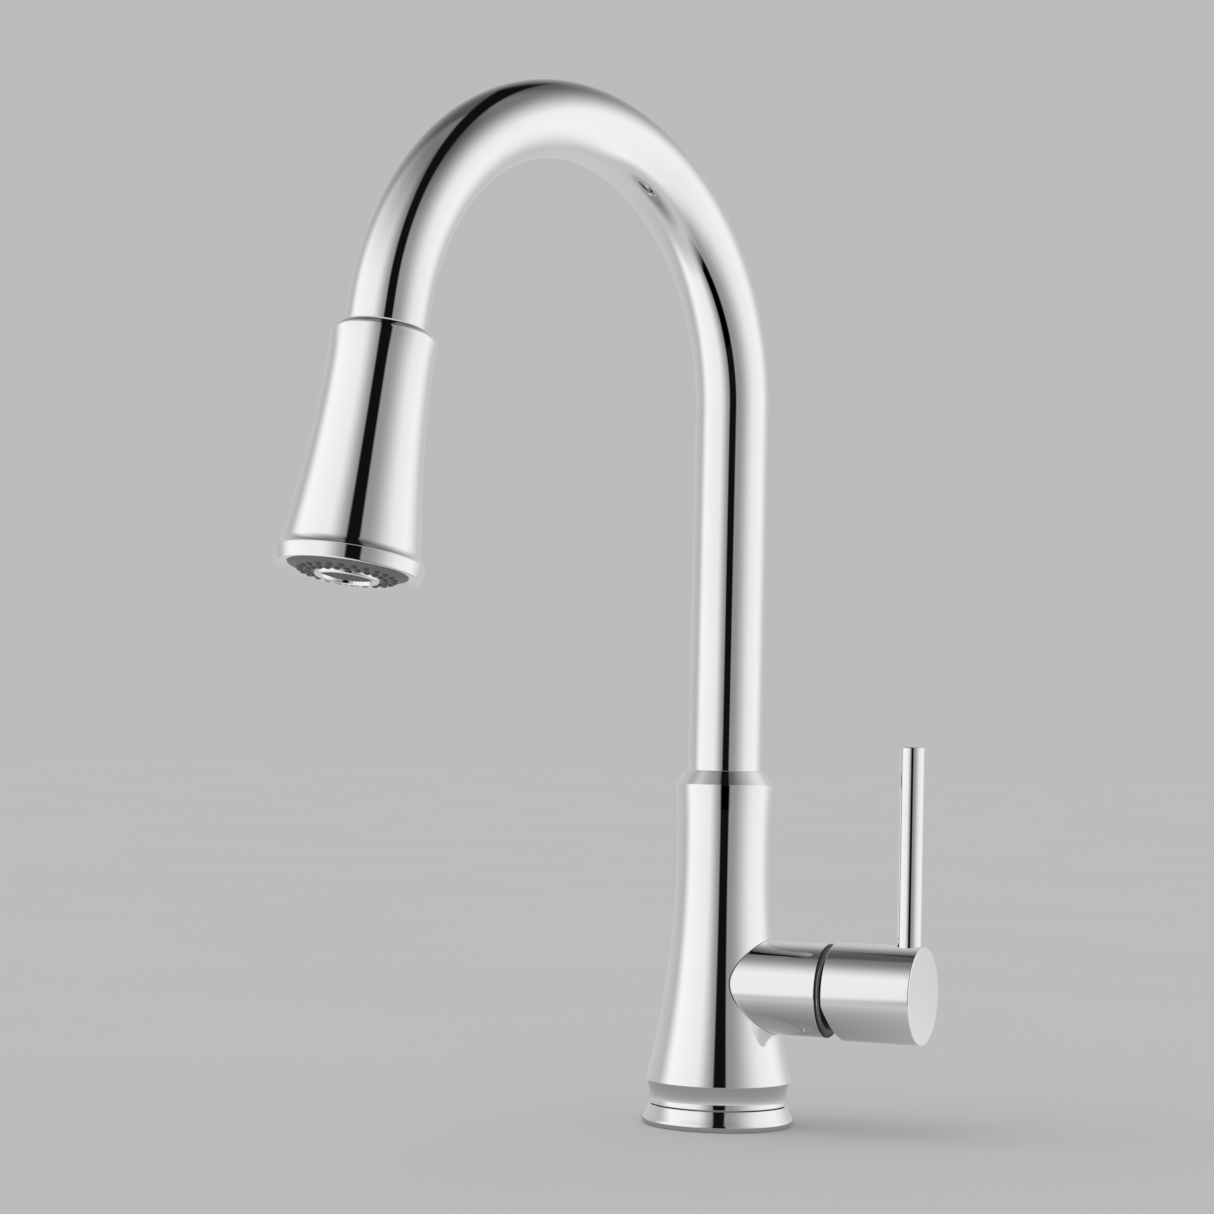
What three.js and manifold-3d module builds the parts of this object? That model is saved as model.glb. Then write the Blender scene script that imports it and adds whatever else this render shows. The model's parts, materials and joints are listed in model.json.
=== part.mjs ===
// A single-lever kitchen faucet with a pull-down spray head.
// Millimetres, +Z up. The origin is on the deck, under the middle of the body; +X is the valve's axis and
// -Y is the front, over the sink. Radii that fit each other are worked out from the same few sizes.
import * as THREE from 'three';
import { mergeVertices } from 'three/addons/utils/BufferGeometryUtils.js';
import Module from 'manifold-3d';

const wasm = await Module();
wasm.setup();

// ---- driving sizes ----

const TUBE_R = 14.3;             // spout tube, outside
const TUBE_WALL = 1.6;
const ARCH_R = 97.4;             // centreline of the gooseneck
const ARCH_SPRING = 277.7;       // height at which the tube starts to bend
const HEAD_TILT = 10.2;          // degrees by which the spray head leans outwards
const SPOUT_END = 8.6;           // straight tube after the arch
const SPOUT_SWING = -16;         // degrees from the front at rest

const BODY_TOP = 137;
const BODY_SWELL = 3.65;         // waist of the body over the tube's radius
const BODY_WAIST_Z = 105;
const FOOT_R = 28.1;
const FOOT_Z = 17;
const SOCKET_DEPTH = 40;         // of the socket that the spout turns in
const BASE_RING_R = 29.5;
const BASE_RING_TOP = 7.75;
const DECK = 20;                 // thickness of the worktop between base and nut

const HOSE_R = 5.8;
const HOSE_WALL = 1.9;
const PIPE_R = 3.8;              // each of the three water tubes in the shank
const PIPE_WALL = 0.9;
const SHANK_WALL = 2.1;
const SHANK_LENGTH = 62;         // below the deck

const VALVE_Z = 53.8;
const SEAT_WEB = 7.8;            // metal between the hose passage and the cartridge seat
const CARTRIDGE_R = 12.5;
const NUT_RIM = 2.1;
const NECK_WALL = 3.1;
const NECK_END = 45.5;
const PIVOT_X = 40;              // the lever tilts about a pin here
const HUB_START = 48;
const HUB_LENGTH = 34.7;
const HUB_PROUD = 0.75;          // hub radius over the neck's
const LEVER_R = 4.75;
const LEVER_TOP = 147.8;
const LEVER_INSET = 6.15;        // from the hub's end face to the lever's axis
const TILT_MAX = 18;

const HEAD_LENGTH = 78.5;        // shell, from the spout's end to the bezel
const HEAD_SHOULDER = 4.3;       // shoulder of the head over the tube's radius
const HEAD_MOUTH = 23.9;         // shell radius at the bezel
const HEAD_WALL = 1.9;
const BEZEL_R = 25.7;
const FACE_R = 20.6;
const AERATOR_R = 11;
const NOZZLES = 24;              // in each of two rows
const NOZZLE_R = 1.45;

const RUN = 0.3;                 // clearance between pieces that move
const FIT = 0.2;                 // clearance between pieces that are fixed together
const ROUND = 24;                // sides of what shows
const INNER = 18;
const SMALL = 10;

// ---- sizes that follow ----

const tubeBore = TUBE_R - TUBE_WALL;
const waistR = TUBE_R + BODY_SWELL;
const socketR = TUBE_R + RUN;
const socketFloor = BODY_TOP - SOCKET_DEPTH;
const footBottom = BASE_RING_TOP + RUN;
const pipeOrbit = HOSE_R + 0.8 + PIPE_R;
const shankBore = pipeOrbit + PIPE_R + RUN;
const shankR = shankBore + SHANK_WALL;
const shankTop = 24;
const hosePassage = HOSE_R + 1.4;
const seatX = hosePassage + SEAT_WEB;
const cartridgeBore = CARTRIDGE_R + RUN;
const nutR = CARTRIDGE_R + NUT_RIM;
const neckBore = nutR + RUN;
const neckR = neckBore + NECK_WALL;
const domeR = neckR - 2;
const hubR = neckR + HUB_PROUD;
const hubBore = domeR + 0.6;
const hubEnd = HUB_START + HUB_LENGTH;
const leverX = hubEnd - LEVER_INSET;
const stemR = 3.3;
const headR = TUBE_R + HEAD_SHOULDER;
const dockR = TUBE_R - TUBE_WALL - RUN;
const dockBore = dockR - 2.1;
const plugR = dockBore - RUN;
const ferruleR = HOSE_R + 1.1;

// ---- finishes ----

const finish = (color, roughness, metalness) => new THREE.MeshStandardMaterial({ color, roughness, metalness });
const CHROME = finish(0xd8dadd, 0.08, 1);
const BRASS = finish(0xb99a5b, 0.35, 1);
const STEEL = finish(0xa9abad, 0.3, 1);
const COPPER = finish(0xb4714a, 0.35, 1);
const CERAMIC = finish(0xe9e6df, 0.3, 0);
const GREY_RUBBER = finish(0x6a6b6d, 0.6, 0);
const BLACK_RUBBER = finish(0x1c1c1d, 0.7, 0);
const GREY_PLASTIC = finish(0x8d8f91, 0.5, 0);
const WHITE_PLASTIC = finish(0xdcdcd8, 0.5, 0);
const BRAID = finish(0x9a9ea3, 0.5, 0.3);
const MAGNET = finish(0x3c3c40, 0.5, 0.8);

// ---- solids ----

const degrees = THREE.MathUtils.degToRad;

// A closed three.js geometry as a solid, its faces turned outwards.
function solid(geometry) {
  const bare = geometry.index ? geometry.toNonIndexed() : geometry.clone();
  bare.deleteAttribute('normal');
  bare.deleteAttribute('uv');
  const merged = mergeVertices(bare, 1e-4);
  const vertProperties = merged.attributes.position.array;
  const corner = (i) => new THREE.Vector3().fromArray(vertProperties, 3 * i);
  const triangles = [];
  let volume = 0;
  for (let i = 0; i < merged.index.count; i += 3) {
    const [a, b, c] = merged.index.array.slice(i, i + 3);
    if (a === b || b === c || c === a) continue;
    triangles.push([a, b, c]);
    volume += corner(a).dot(corner(b).cross(corner(c)));
  }
  const outward = volume > 0 ? triangles : triangles.map(([a, b, c]) => [a, c, b]);
  const triVerts = new Uint32Array(outward.flat());
  return new wasm.Manifold(new wasm.Mesh({ numProp: 3, vertProperties, triVerts }));
}

// Turned about Z from an outline of [radius, height] points that starts and ends on the axis, or closes.
function turned(outline, sides = ROUND) {
  const points = outline.map(([r, z]) => new THREE.Vector2(r, z));
  const [first, last] = [points[0], points[points.length - 1]];
  if (first.x > 0 || last.x > 0) points.push(first.clone());
  return solid(new THREE.LatheGeometry(points, sides).rotateX(Math.PI / 2));
}

// A plain tube about Z.
function sleeve(outer, inner, low, high, sides = INNER) {
  return turned([[inner, low], [outer, low], [outer, high], [inner, high]], sides);
}

// A plain disc about Z.
function disc(radius, low, high, sides = INNER) {
  return turned([[0, low], [radius, low], [radius, high], [0, high]], sides);
}

// A round bar between two points.
function bar(from, to, radius, sides = SMALL) {
  const [start, end] = [new THREE.Vector3(...from), new THREE.Vector3(...to)];
  const along = end.clone().sub(start);
  const geometry = new THREE.CylinderGeometry(radius, radius, along.length(), sides);
  const turn = new THREE.Quaternion().setFromUnitVectors(new THREE.Vector3(0, 1, 0), along.clone().normalize());
  geometry.applyQuaternion(turn).translate(...start.add(end).multiplyScalar(0.5).toArray());
  return solid(geometry);
}

function box(low, high) {
  const size = high.map((value, i) => value - low[i]);
  const geometry = new THREE.BoxGeometry(...size);
  return solid(geometry.translate(...high.map((value, i) => (value + low[i]) / 2)));
}

const cut = (whole, ...tools) => tools.reduce((left, tool) => left.subtract(tool), whole);
const joined = (first, ...rest) => rest.reduce((sum, next) => sum.add(next), first);

// Points of a smooth outline r(z) between two heights.
function profile(radiusAt, from, to, steps) {
  return Array.from({ length: steps + 1 }, (_, i) => {
    const z = THREE.MathUtils.lerp(from, to, i / steps);
    return [radiusAt(z), z];
  });
}

// ---- the scene graph ----

const faucet = new THREE.Group();

const spout = new THREE.Group();                 // turns about Z; its -Y runs out along the arch
spout.rotation.z = degrees(SPOUT_SWING);
faucet.add(spout);

const sweep = Math.PI - degrees(HEAD_TILT);      // angle that the gooseneck turns through
const archEnd = new THREE.Vector3(0, ARCH_R * (Math.cos(sweep) - 1), ARCH_SPRING + ARCH_R * Math.sin(sweep));
const headAxis = new THREE.Vector3(0, -Math.sin(degrees(HEAD_TILT)), -Math.cos(degrees(HEAD_TILT)));

const head = new THREE.Group();                  // origin at the spout's end, +Z back up the tube
head.position.copy(archEnd).addScaledVector(headAxis, SPOUT_END);
head.rotation.x = -degrees(HEAD_TILT);
spout.add(head);

const valve = new THREE.Group();                 // its +Z is the valve's axis, its +X points down
valve.position.z = VALVE_Z;
valve.rotation.y = Math.PI / 2;
faucet.add(valve);

function piece(parent, name, made, material) {
  const { vertProperties, triVerts } = made.getMesh();
  const geometry = new THREE.BufferGeometry();
  geometry.setAttribute('position', new THREE.BufferAttribute(vertProperties, 3));
  geometry.setIndex(new THREE.BufferAttribute(triVerts, 1));
  geometry.computeVertexNormals();
  const mesh = new THREE.Mesh(geometry, material);
  mesh.name = name;
  parent.add(mesh);
}

// ---- deck and shank ----

const gasketR = [shankR + 6.4, shankR + 9.4];
const gasketTop = 1.8;
const ringFoot = 0.3;            // the ring stands this far off the deck, on its gasket

function baseRing() {
  const inner = shankR + 0.8;
  const lip = BASE_RING_R - 2.5;
  const grooveTop = gasketTop + FIT;
  return turned([
    [inner, ringFoot], [gasketR[0] - RUN, ringFoot], [gasketR[0] - RUN, grooveTop],
    [gasketR[1] + RUN, grooveTop], [gasketR[1] + RUN, ringFoot], [BASE_RING_R - 1.2, ringFoot],
    [BASE_RING_R - 0.3, 1.1], [BASE_RING_R, 2.2], [BASE_RING_R - 0.8, 3.7],
    [BASE_RING_R - 1.6, 5.3], [lip, BASE_RING_TOP], [inner, BASE_RING_TOP],
  ]);
}

const washerR = shankR + 10.4;
const rubberWasher = [-DECK - 2.4, -DECK];
const steelWasher = [rubberWasher[0] - RUN - 1.5, rubberWasher[0] - RUN];
const nutTop = steelWasher[0] - RUN;
const nutBottom = nutTop - 14;
const screwOrbit = shankR + 4.9;
const screwR = 2.5;

function mountingNut() {
  const rim = sleeve(shankR + 8.9, shankR + RUN, nutBottom, nutTop, ROUND);
  const holes = [-1, 1].map((side) => {
    const y = side * screwOrbit;
    return bar([0, y, nutBottom - 1], [0, y, nutTop + 1], screwR + FIT);
  });
  return cut(rim, ...holes);
}

function clampScrew(side) {
  const y = side * screwOrbit;
  const shaft = bar([0, y, nutBottom - 12], [0, y, nutTop - 0.1], screwR);
  const grip = bar([0, y, nutBottom - 14.5], [0, y, nutBottom - 11.5], screwR + 1.6);
  return joined(shaft, grip);
}

const pipeTop = shankTop + 7.7;
const pipeBottom = -SHANK_LENGTH - 28;
const pipeTurn = { hot_inlet_tube: 46, cold_inlet_tube: -46, outlet_tube: 0 };
const pipePlace = (name) => {
  const turn = degrees(pipeTurn[name]);
  return [pipeOrbit * Math.cos(turn), pipeOrbit * Math.sin(turn)];
};

// A water tube, with a bead at its lower end for the coupling of a supply line.
function waterTube(name) {
  const bore = PIPE_R - PIPE_WALL;
  const outline = [
    [bore, pipeBottom], [PIPE_R, pipeBottom], [PIPE_R, pipeBottom + 3], [PIPE_R + 0.25, pipeBottom + 4],
    [PIPE_R, pipeBottom + 5], [PIPE_R, pipeTop], [bore, pipeTop],
  ];
  return turned(outline, SMALL).translate([...pipePlace(name), 0]);
}

function deckPieces() {
  piece(faucet, 'base_gasket', sleeve(gasketR[1], gasketR[0], 0, gasketTop, ROUND), BLACK_RUBBER);
  piece(faucet, 'base_ring', baseRing(), CHROME);
  piece(faucet, 'mounting_shank', sleeve(shankR, shankBore, -SHANK_LENGTH, shankTop - RUN), BRASS);
  piece(faucet, 'rubber_washer', sleeve(washerR, shankR + 0.6, ...rubberWasher), BLACK_RUBBER);
  piece(faucet, 'steel_washer', sleeve(washerR, shankR + 0.6, ...steelWasher), STEEL);
  piece(faucet, 'mounting_nut', mountingNut(), BRASS);
  piece(faucet, 'clamp_screw_front', clampScrew(-1), STEEL);
  piece(faucet, 'clamp_screw_back', clampScrew(1), STEEL);
  for (const name of Object.keys(pipeTurn)) piece(faucet, name, waterTube(name), COPPER);
}

// ---- body casting ----

const portRing = CARTRIDGE_R - 4.3;              // the cartridge's three ports lie on this circle
const ports = {
  hot_inlet_tube: [-21.5, 'port_seal_hot'],
  cold_inlet_tube: [201.5, 'port_seal_cold'],
  outlet_tube: [90, 'port_seal_outlet'],
};
// Port places in the body's frame; 90 degrees is straight up.
const portPlace = (name, radius = portRing) => {
  const turn = degrees(ports[name][0]);
  return [radius * Math.cos(turn), VALVE_Z + radius * Math.sin(turn)];
};

// From its crisp foot the body narrows to the waist, then swells a little to the shoulder.
function bodyRadius(z) {
  const shoulderZ = BODY_TOP - 5.5;
  if (z < BODY_WAIST_Z) return waistR + (FOOT_R - waistR) * ((BODY_WAIST_Z - z) / (BODY_WAIST_Z - FOOT_Z)) ** 2.05;
  return waistR + 1.05 * ((z - BODY_WAIST_Z) / (shoulderZ - BODY_WAIST_Z)) ** 2.5;
}

function bodyOutside() {
  const cove = new THREE.QuadraticBezierCurve(
    new THREE.Vector2(FOOT_R - 1.2, footBottom),
    new THREE.Vector2(FOOT_R - 2.1, (footBottom + FOOT_Z) / 2),
    new THREE.Vector2(FOOT_R, FOOT_Z),
  );
  const foot = cove.getPoints(3).slice(0, -1).map((point) => [point.x, point.y]);
  const flare = profile(bodyRadius, FOOT_Z, BODY_WAIST_Z, 7);
  const shoulder = profile(bodyRadius, BODY_WAIST_Z, BODY_TOP - 5.5, 2).slice(1);
  return turned([[0, footBottom], ...foot, ...flare, ...shoulder, [TUBE_R + 1.1, BODY_TOP], [0, BODY_TOP]]);
}

const mouth = { depth: 1.1, radius: neckR - 1 };  // shallow seat for the dome cap at the neck's end

function neckOutside() {
  const outline = [
    [0, 0], [neckR, 0], [neckR, NECK_END - 0.8], [neckR - 0.3, NECK_END - 0.2], [neckR - 0.7, NECK_END], [0, NECK_END],
  ];
  return turned(outline).rotate([0, 90, 0]).translate([0, 0, VALVE_Z]);
}

const alongX = (from, to, radius, sides) => bar([from, 0, VALVE_Z], [to, 0, VALVE_Z], radius, sides);
const nutSeatX = PIVOT_X - 6.5;
const screwZ = socketFloor + SOCKET_DEPTH / 2;

// Drillings that bring hot and cold water up to the seat and the mixed water down again.
function waterways() {
  const drill = PIPE_R - PIPE_WALL - 0.5;
  return Object.keys(ports).flatMap((name) => {
    const [x, y] = pipePlace(name);
    const [portY, portZ] = portPlace(name);
    return [
      bar([x, y, shankTop - 1], [x, y, pipeTop + RUN], PIPE_R + FIT),
      bar([x, y, pipeTop], [x, y, portZ + 1.2], drill),
      bar([x, y, portZ], [seatX + 0.5, portY, portZ], 2),
    ];
  });
}

function bodyShell() {
  const screwHole = bar([0, socketR - 2, screwZ], [0, waistR + 3, screwZ], screwR - 0.2);
  return cut(
    joined(bodyOutside(), neckOutside()),
    disc(socketR, socketFloor, BODY_TOP + 1, ROUND),
    disc(hosePassage, 0, BODY_TOP),
    disc(shankR + RUN, 0, shankTop, ROUND),
    alongX(seatX, NECK_END + 1, cartridgeBore, INNER),
    alongX(nutSeatX, NECK_END + 1, neckBore, INNER),
    alongX(NECK_END - mouth.depth, NECK_END + 1, mouth.radius, ROUND),
    screwHole,
    ...waterways(),
  );
}

// ---- spout swivel ----

const hubTop = BODY_TOP + 8;
const hubShoulder = BODY_TOP - 6;                // the tube stands on this ledge of the hub
const thrust = [socketFloor + 0.2, socketFloor + 1.4];
const swivelFloor = thrust[1] + RUN;
const wearRings = [swivelFloor + 5, hubShoulder - 10];
const wearHeight = 4.4;

function spoutHub() {
  const outer = TUBE_R - 0.1;
  const groove = outer - 1;
  const spigot = tubeBore - FIT;
  const bore = HOSE_R + 1.6;
  const outline = [[bore, swivelFloor], [outer, swivelFloor]];
  const grooves = [
    [wearRings[0], wearHeight, groove],
    [screwZ - 2.6, 5.2, groove - 0.6],
    [wearRings[1], wearHeight, groove],
  ];
  for (const [low, height, floor] of grooves) {
    outline.push([outer, low], [floor, low], [floor, low + height], [outer, low + height]);
  }
  outline.push([outer, hubShoulder], [spigot, hubShoulder], [spigot, hubTop], [bore, hubTop]);
  return turned(outline, INNER);
}

const wearRing = (low) => sleeve(TUBE_R + 0.1, TUBE_R - 0.85, low + FIT, low + wearHeight - FIT);

function spoutSwivel() {
  piece(faucet, 'thrust_washer', sleeve(TUBE_R - 0.3, hosePassage + 1.2, ...thrust), WHITE_PLASTIC);
  const screw = bar([0, TUBE_R - 1.35, screwZ], [0, waistR - 0.3, screwZ], screwR - 0.5);
  piece(faucet, 'spout_retaining_screw', screw, STEEL);
  piece(spout, 'spout_hub', spoutHub(), BRASS);
  piece(spout, 'lower_wear_ring', wearRing(wearRings[0]), WHITE_PLASTIC);
  piece(spout, 'upper_wear_ring', wearRing(wearRings[1]), WHITE_PLASTIC);
}

// ---- spout and hose ----

// Runs up the axis and round the arch. Equal steps of t are one straight step, then the steps of the arch, then
// one straight step where there is a straight end. offset(left) moves the line outwards from the middle of
// the bend, where left is the angle still to turn.
class SpoutLine extends THREE.Curve {
  constructor({ bottom, stop = 0, straight = 0, steps, offset = () => 0 }) {
    super();
    Object.assign(this, { bottom, stop, straight, arch: steps, offset });
    this.steps = steps + 1 + (straight > 0 ? 1 : 0);
  }

  getPoint(t, target = new THREE.Vector3()) {
    const station = t * this.steps;
    if (station <= 1) return target.set(0, 0, THREE.MathUtils.lerp(this.bottom, ARCH_SPRING, station));
    const part = Math.min((station - 1) / this.arch, 1);
    const angle = part * (sweep - this.stop);
    const radius = ARCH_R + this.offset(sweep - angle);
    target.set(0, radius * Math.cos(angle) - ARCH_R, ARCH_SPRING + radius * Math.sin(angle));
    return target.addScaledVector(headAxis, Math.max(station - 1 - this.arch, 0) * this.straight);
  }

  getPointAt(u, target) {
    return this.getPoint(u, target);
  }

  getTangentAt(u, target) {
    return this.getTangent(u, target);
  }
}

function swept(line, outer, inner, sides) {
  const circle = (radius) => Array.from({ length: sides }, (_, i) => {
    const turn = (2 * Math.PI * i) / sides;
    return new THREE.Vector2(radius * Math.cos(turn), radius * Math.sin(turn));
  });
  const section = new THREE.Shape(circle(outer));
  section.holes.push(new THREE.Path(circle(inner).reverse()));
  return solid(new THREE.ExtrudeGeometry(section, { steps: line.steps, extrudePath: line, bevelEnabled: false }));
}

const hoseTail = -SHANK_LENGTH - 13;
const ferrule = { top: 30, end: 22.3, neck: 20.5 };   // distances back up the tube from the spout's end

// The hose leaves its ferrule straight, bends against the outside of the arch and comes back to the middle.
function hoseOffset(left) {
  const straightLeft = Math.atan((ferrule.top - SPOUT_END) / ARCH_R);
  const lift = ARCH_R / Math.cos(straightLeft) - ARCH_R;
  const slope = (ARCH_R * Math.tan(straightLeft)) / Math.cos(straightLeft);
  const most = tubeBore - HOSE_R - 1.0;
  const reach = (2 * (most - lift)) / slope;
  if (left < straightLeft) return ARCH_R / Math.cos(left) - ARCH_R;
  if (left < straightLeft + reach) {
    const part = (left - straightLeft) / reach;
    return lift + (most - lift) * (2 * part - part * part);
  }
  return most * (1 - THREE.MathUtils.smoothstep(left, straightLeft + reach, sweep));
}

function hoseLine() {
  const stop = Math.atan((ferrule.end + RUN - SPOUT_END) / ARCH_R);
  return new SpoutLine({ bottom: hoseTail, stop, steps: 20, offset: hoseOffset });
}

function spoutPieces() {
  const tubeLine = new SpoutLine({ bottom: hubShoulder + FIT, straight: SPOUT_END, steps: 16 });
  piece(spout, 'spout_tube', swept(tubeLine, TUBE_R, tubeBore, 20), CHROME);
  piece(spout, 'spray_hose', swept(hoseLine(), HOSE_R, HOSE_R - HOSE_WALL, 8), BRAID);
  const tail = [
    [HOSE_R - HOSE_WALL, hoseTail - RUN], [HOSE_R + 0.6, hoseTail - RUN], [HOSE_R + 0.6, hoseTail - 8],
    [HOSE_R - 1, hoseTail - 10], [HOSE_R - 1, hoseTail - 22], [HOSE_R - HOSE_WALL, hoseTail - 22],
  ];
  piece(spout, 'hose_tail_fitting', turned(tail.reverse(), INNER), BRASS);
  piece(head, 'dock_magnet', sleeve(dockR, dockBore, 0.8, 5.3), MAGNET);
  piece(head, 'dock_collar', sleeve(dockR, dockBore, 5.6, SPOUT_END + 0.6), WHITE_PLASTIC);
}

// ---- spray head ----
// Heights here are negative on the way down from the spout's end to the face.

function hoseEnd() {
  const neck = HOSE_R - 0.6;
  const bore = HOSE_R - HOSE_WALL - 0.7;
  const outline = [
    [bore, 14], [ferruleR + 0.7, 14], [ferruleR + 0.7, 15.5], [neck, 15.5], [neck, ferrule.neck],
    [ferruleR, ferrule.neck], [ferruleR, ferrule.top], [HOSE_R + FIT, ferrule.top], [HOSE_R + FIT, ferrule.end],
    [bore, ferrule.end],
  ];
  return turned(outline, INNER);
}

const stubR = ferruleR + 0.8;
const stubTop = 13;

function hoseNut() {
  const neck = HOSE_R - 0.6 + RUN;
  const bore = stubR + RUN;
  return turned([
    [neck, 15.8], [bore, 15.8], [bore, 6.6], [plugR - 0.4, 6.6], [plugR - 0.4, 15.2],
    [ferruleR + 0.4, 20.2], [neck, 20.2],
  ], INNER);
}

const coreTop = -30.3;

function headInlet() {
  const bore = 5.4;
  return turned([
    [bore, stubTop], [bore, coreTop + RUN], [8.5, coreTop + RUN], [8.5, -7.5], [headR - 3.2, -7.5],
    [headR - 3.2, -4.5], [plugR, -4.5], [plugR, 6.3], [stubR, 6.3], [stubR, stubTop],
  ], INNER);
}

// Outside of the head: a rounded shoulder, a nearly straight grip, then a flare to the mouth.
function headRadius(distance) {
  if (distance < 12) return headR - 0.5 + 0.5 * ((12 - distance) / 8) ** 2;
  return headR - 0.5 + (HEAD_MOUTH - headR + 0.5) * ((distance - 12) / (HEAD_LENGTH - 12)) ** 1.7;
}

const headOutline = (grow, from, to, steps) => {
  const points = profile(headRadius, from, to, steps);
  return points.map(([r, distance]) => [r + grow, -distance]);
};

const plateR = dockR + 0.2;
const toggle = { middle: 39, half: 9.5, width: 4.3, proud: 1 };
const pinY = headRadius(toggle.middle) - 2.3;

// The opening and the button have the same straight sides and round ends.
function togglePlug(grow, inside, outside) {
  const shape = new THREE.Shape();
  const radius = toggle.width + grow;
  const run = toggle.half - toggle.width;
  shape.absarc(0, run, radius, 0, Math.PI);
  shape.absarc(0, -run, radius, Math.PI, 2 * Math.PI);
  const options = { depth: outside - inside, bevelEnabled: false, curveSegments: 4 };
  const plug = new THREE.ExtrudeGeometry(shape, options).rotateX(Math.PI / 2);
  return solid(plug.translate(0, outside, -toggle.middle));
}

const acrossHead = (reach, radius) => bar([-reach, pinY, -toggle.middle], [reach, pinY, -toggle.middle], radius);

function headShell() {
  const outside = headOutline(0, 4, HEAD_LENGTH, 7);
  const inside = headOutline(-HEAD_WALL, 8, HEAD_LENGTH, 5).reverse();
  const top = [[plateR, -0.3], [TUBE_R + 0.3, -0.3], [headR - 2, -1.1], [headR - 0.6, -2.4]];
  const hole = plugR + FIT;
  const shell = turned([
    ...top, ...outside, ...inside, [headR - 2.6, -4.2], [hole, -4.2], [hole, -2], [plateR, -2],
  ]);
  return cut(shell, togglePlug(0.6, pinY - 4, BEZEL_R), acrossHead(6.4, 0.95));
}

function toggleButton() {
  const skin = turned([[0, -20], ...headOutline(toggle.proud, 20, 60, 4), [0, -60]]);
  const lugs = togglePlug(0, pinY - 2.2, BEZEL_R);
  return cut(skin.intersect(lugs), acrossHead(6.4, 0.95));
}

const coreFoot = -HEAD_LENGTH - 0.6;
const chamberR = AERATOR_R - 2;

function waterCore() {
  const bore = 6.3;
  const rimTop = -71;
  const rim = headRadius(-rimTop) - HEAD_WALL - 0.7;
  return turned([
    [bore, coreTop], [9.5, coreTop], [9.5, -54], [rim - 1, rimTop + 1], [rim, rimTop], [rim, coreFoot],
    [chamberR, coreFoot], [chamberR, -59], [3.5, -58], [3.5, -52], [bore, -52],
  ], INNER);
}

function diverterSpool() {
  return turned([[0, -36], [6, -36], [6, -38.5], [4, -39], [4, -43], [6, -43.5], [6, -46], [0, -46]], INNER);
}

const facePlane = -HEAD_LENGTH - 6.5;
const faceLip = FACE_R + 0.25;

function headBezel() {
  const top = -HEAD_LENGTH - RUN;
  const seat = faceLip + 0.85;
  return turned([
    [seat, top - RUN], [HEAD_MOUTH - 1.6, top], [HEAD_MOUTH + 0.2, top], [BEZEL_R, top - 2.1],
    [BEZEL_R - 0.6, top - 4.4], [BEZEL_R - 1.7, top - 6.2], [BEZEL_R - 2.9, top - 7.3], [BEZEL_R - 4.1, top - 7.4],
    [faceLip, top - 6.8], [faceLip, facePlane + 0.6], [seat, facePlane + 0.6],
  ]);
}

const nozzleRows = [AERATOR_R + 2.9, AERATOR_R + 6.4];

// A soft mat with two staggered rows of hollow-looking rubber nozzles.
function sprayFace() {
  const hole = AERATOR_R + RUN;
  const back = facePlane + 2.4;
  const ledge = facePlane + 0.8;
  const mat = turned([
    [hole, back], [faceLip + 0.55, back], [faceLip + 0.55, ledge], [FACE_R, ledge], [FACE_R, facePlane],
    [hole, facePlane],
  ]);
  const nozzles = nozzleRows.flatMap((row, r) => Array.from({ length: NOZZLES }, (_, i) => {
    const turn = (2 * Math.PI * (i + r / 2)) / NOZZLES;
    const cone = new THREE.CylinderGeometry(NOZZLE_R, NOZZLE_R - 0.5, 2.1, 5).rotateX(Math.PI / 2);
    return solid(cone.translate(row * Math.cos(turn), row * Math.sin(turn), facePlane - 0.75));
  }));
  return joined(mat, ...nozzles);
}

const aeratorTop = coreFoot - RUN;
const aeratorLip = facePlane - 3;

function aeratorRing() {
  const bore = AERATOR_R - 1.7;
  return turned([
    [bore, aeratorTop], [AERATOR_R, aeratorTop], [AERATOR_R, aeratorLip + 0.8], [AERATOR_R - 0.5, aeratorLip],
    [AERATOR_R - 1.2, aeratorLip], [bore, aeratorLip + 0.6],
  ]);
}

function sprayHead() {
  const stub = stubTop + FIT;
  piece(head, 'hose_ferrule', hoseEnd(), STEEL);
  piece(head, 'hose_nut', hoseNut(), CHROME);
  piece(head, 'filter_washer', sleeve(stubR, HOSE_R - 2.3, stub, stub + 0.6), BLACK_RUBBER);
  piece(head, 'head_inlet', headInlet(), BRASS);
  piece(head, 'check_valve', sleeve(5.1, 2.4, -4, 8, SMALL), WHITE_PLASTIC);
  piece(head, 'dock_plate', sleeve(dockR, plugR + RUN, -1.8, -0.6), STEEL);
  piece(head, 'head_shell', headShell(), CHROME);
  piece(head, 'water_core', waterCore(), WHITE_PLASTIC);
  piece(head, 'diverter_spool', diverterSpool(), GREY_PLASTIC);
  piece(head, 'toggle_pin', acrossHead(6.2, 0.8), STEEL);
  piece(head, 'spray_toggle', toggleButton(), CHROME);
  piece(head, 'head_bezel', headBezel(), CHROME);
  piece(head, 'spray_face', sprayFace(), GREY_RUBBER);
  piece(head, 'aerator_ring', aeratorRing(), CHROME);
  piece(head, 'aerator_screen', disc(AERATOR_R - 1.9, aeratorLip + 1.2, aeratorLip + 3.5), GREY_PLASTIC);
}

// ---- cartridge ----
// Everything here is along the valve's axis; down is +X in this group.

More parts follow.
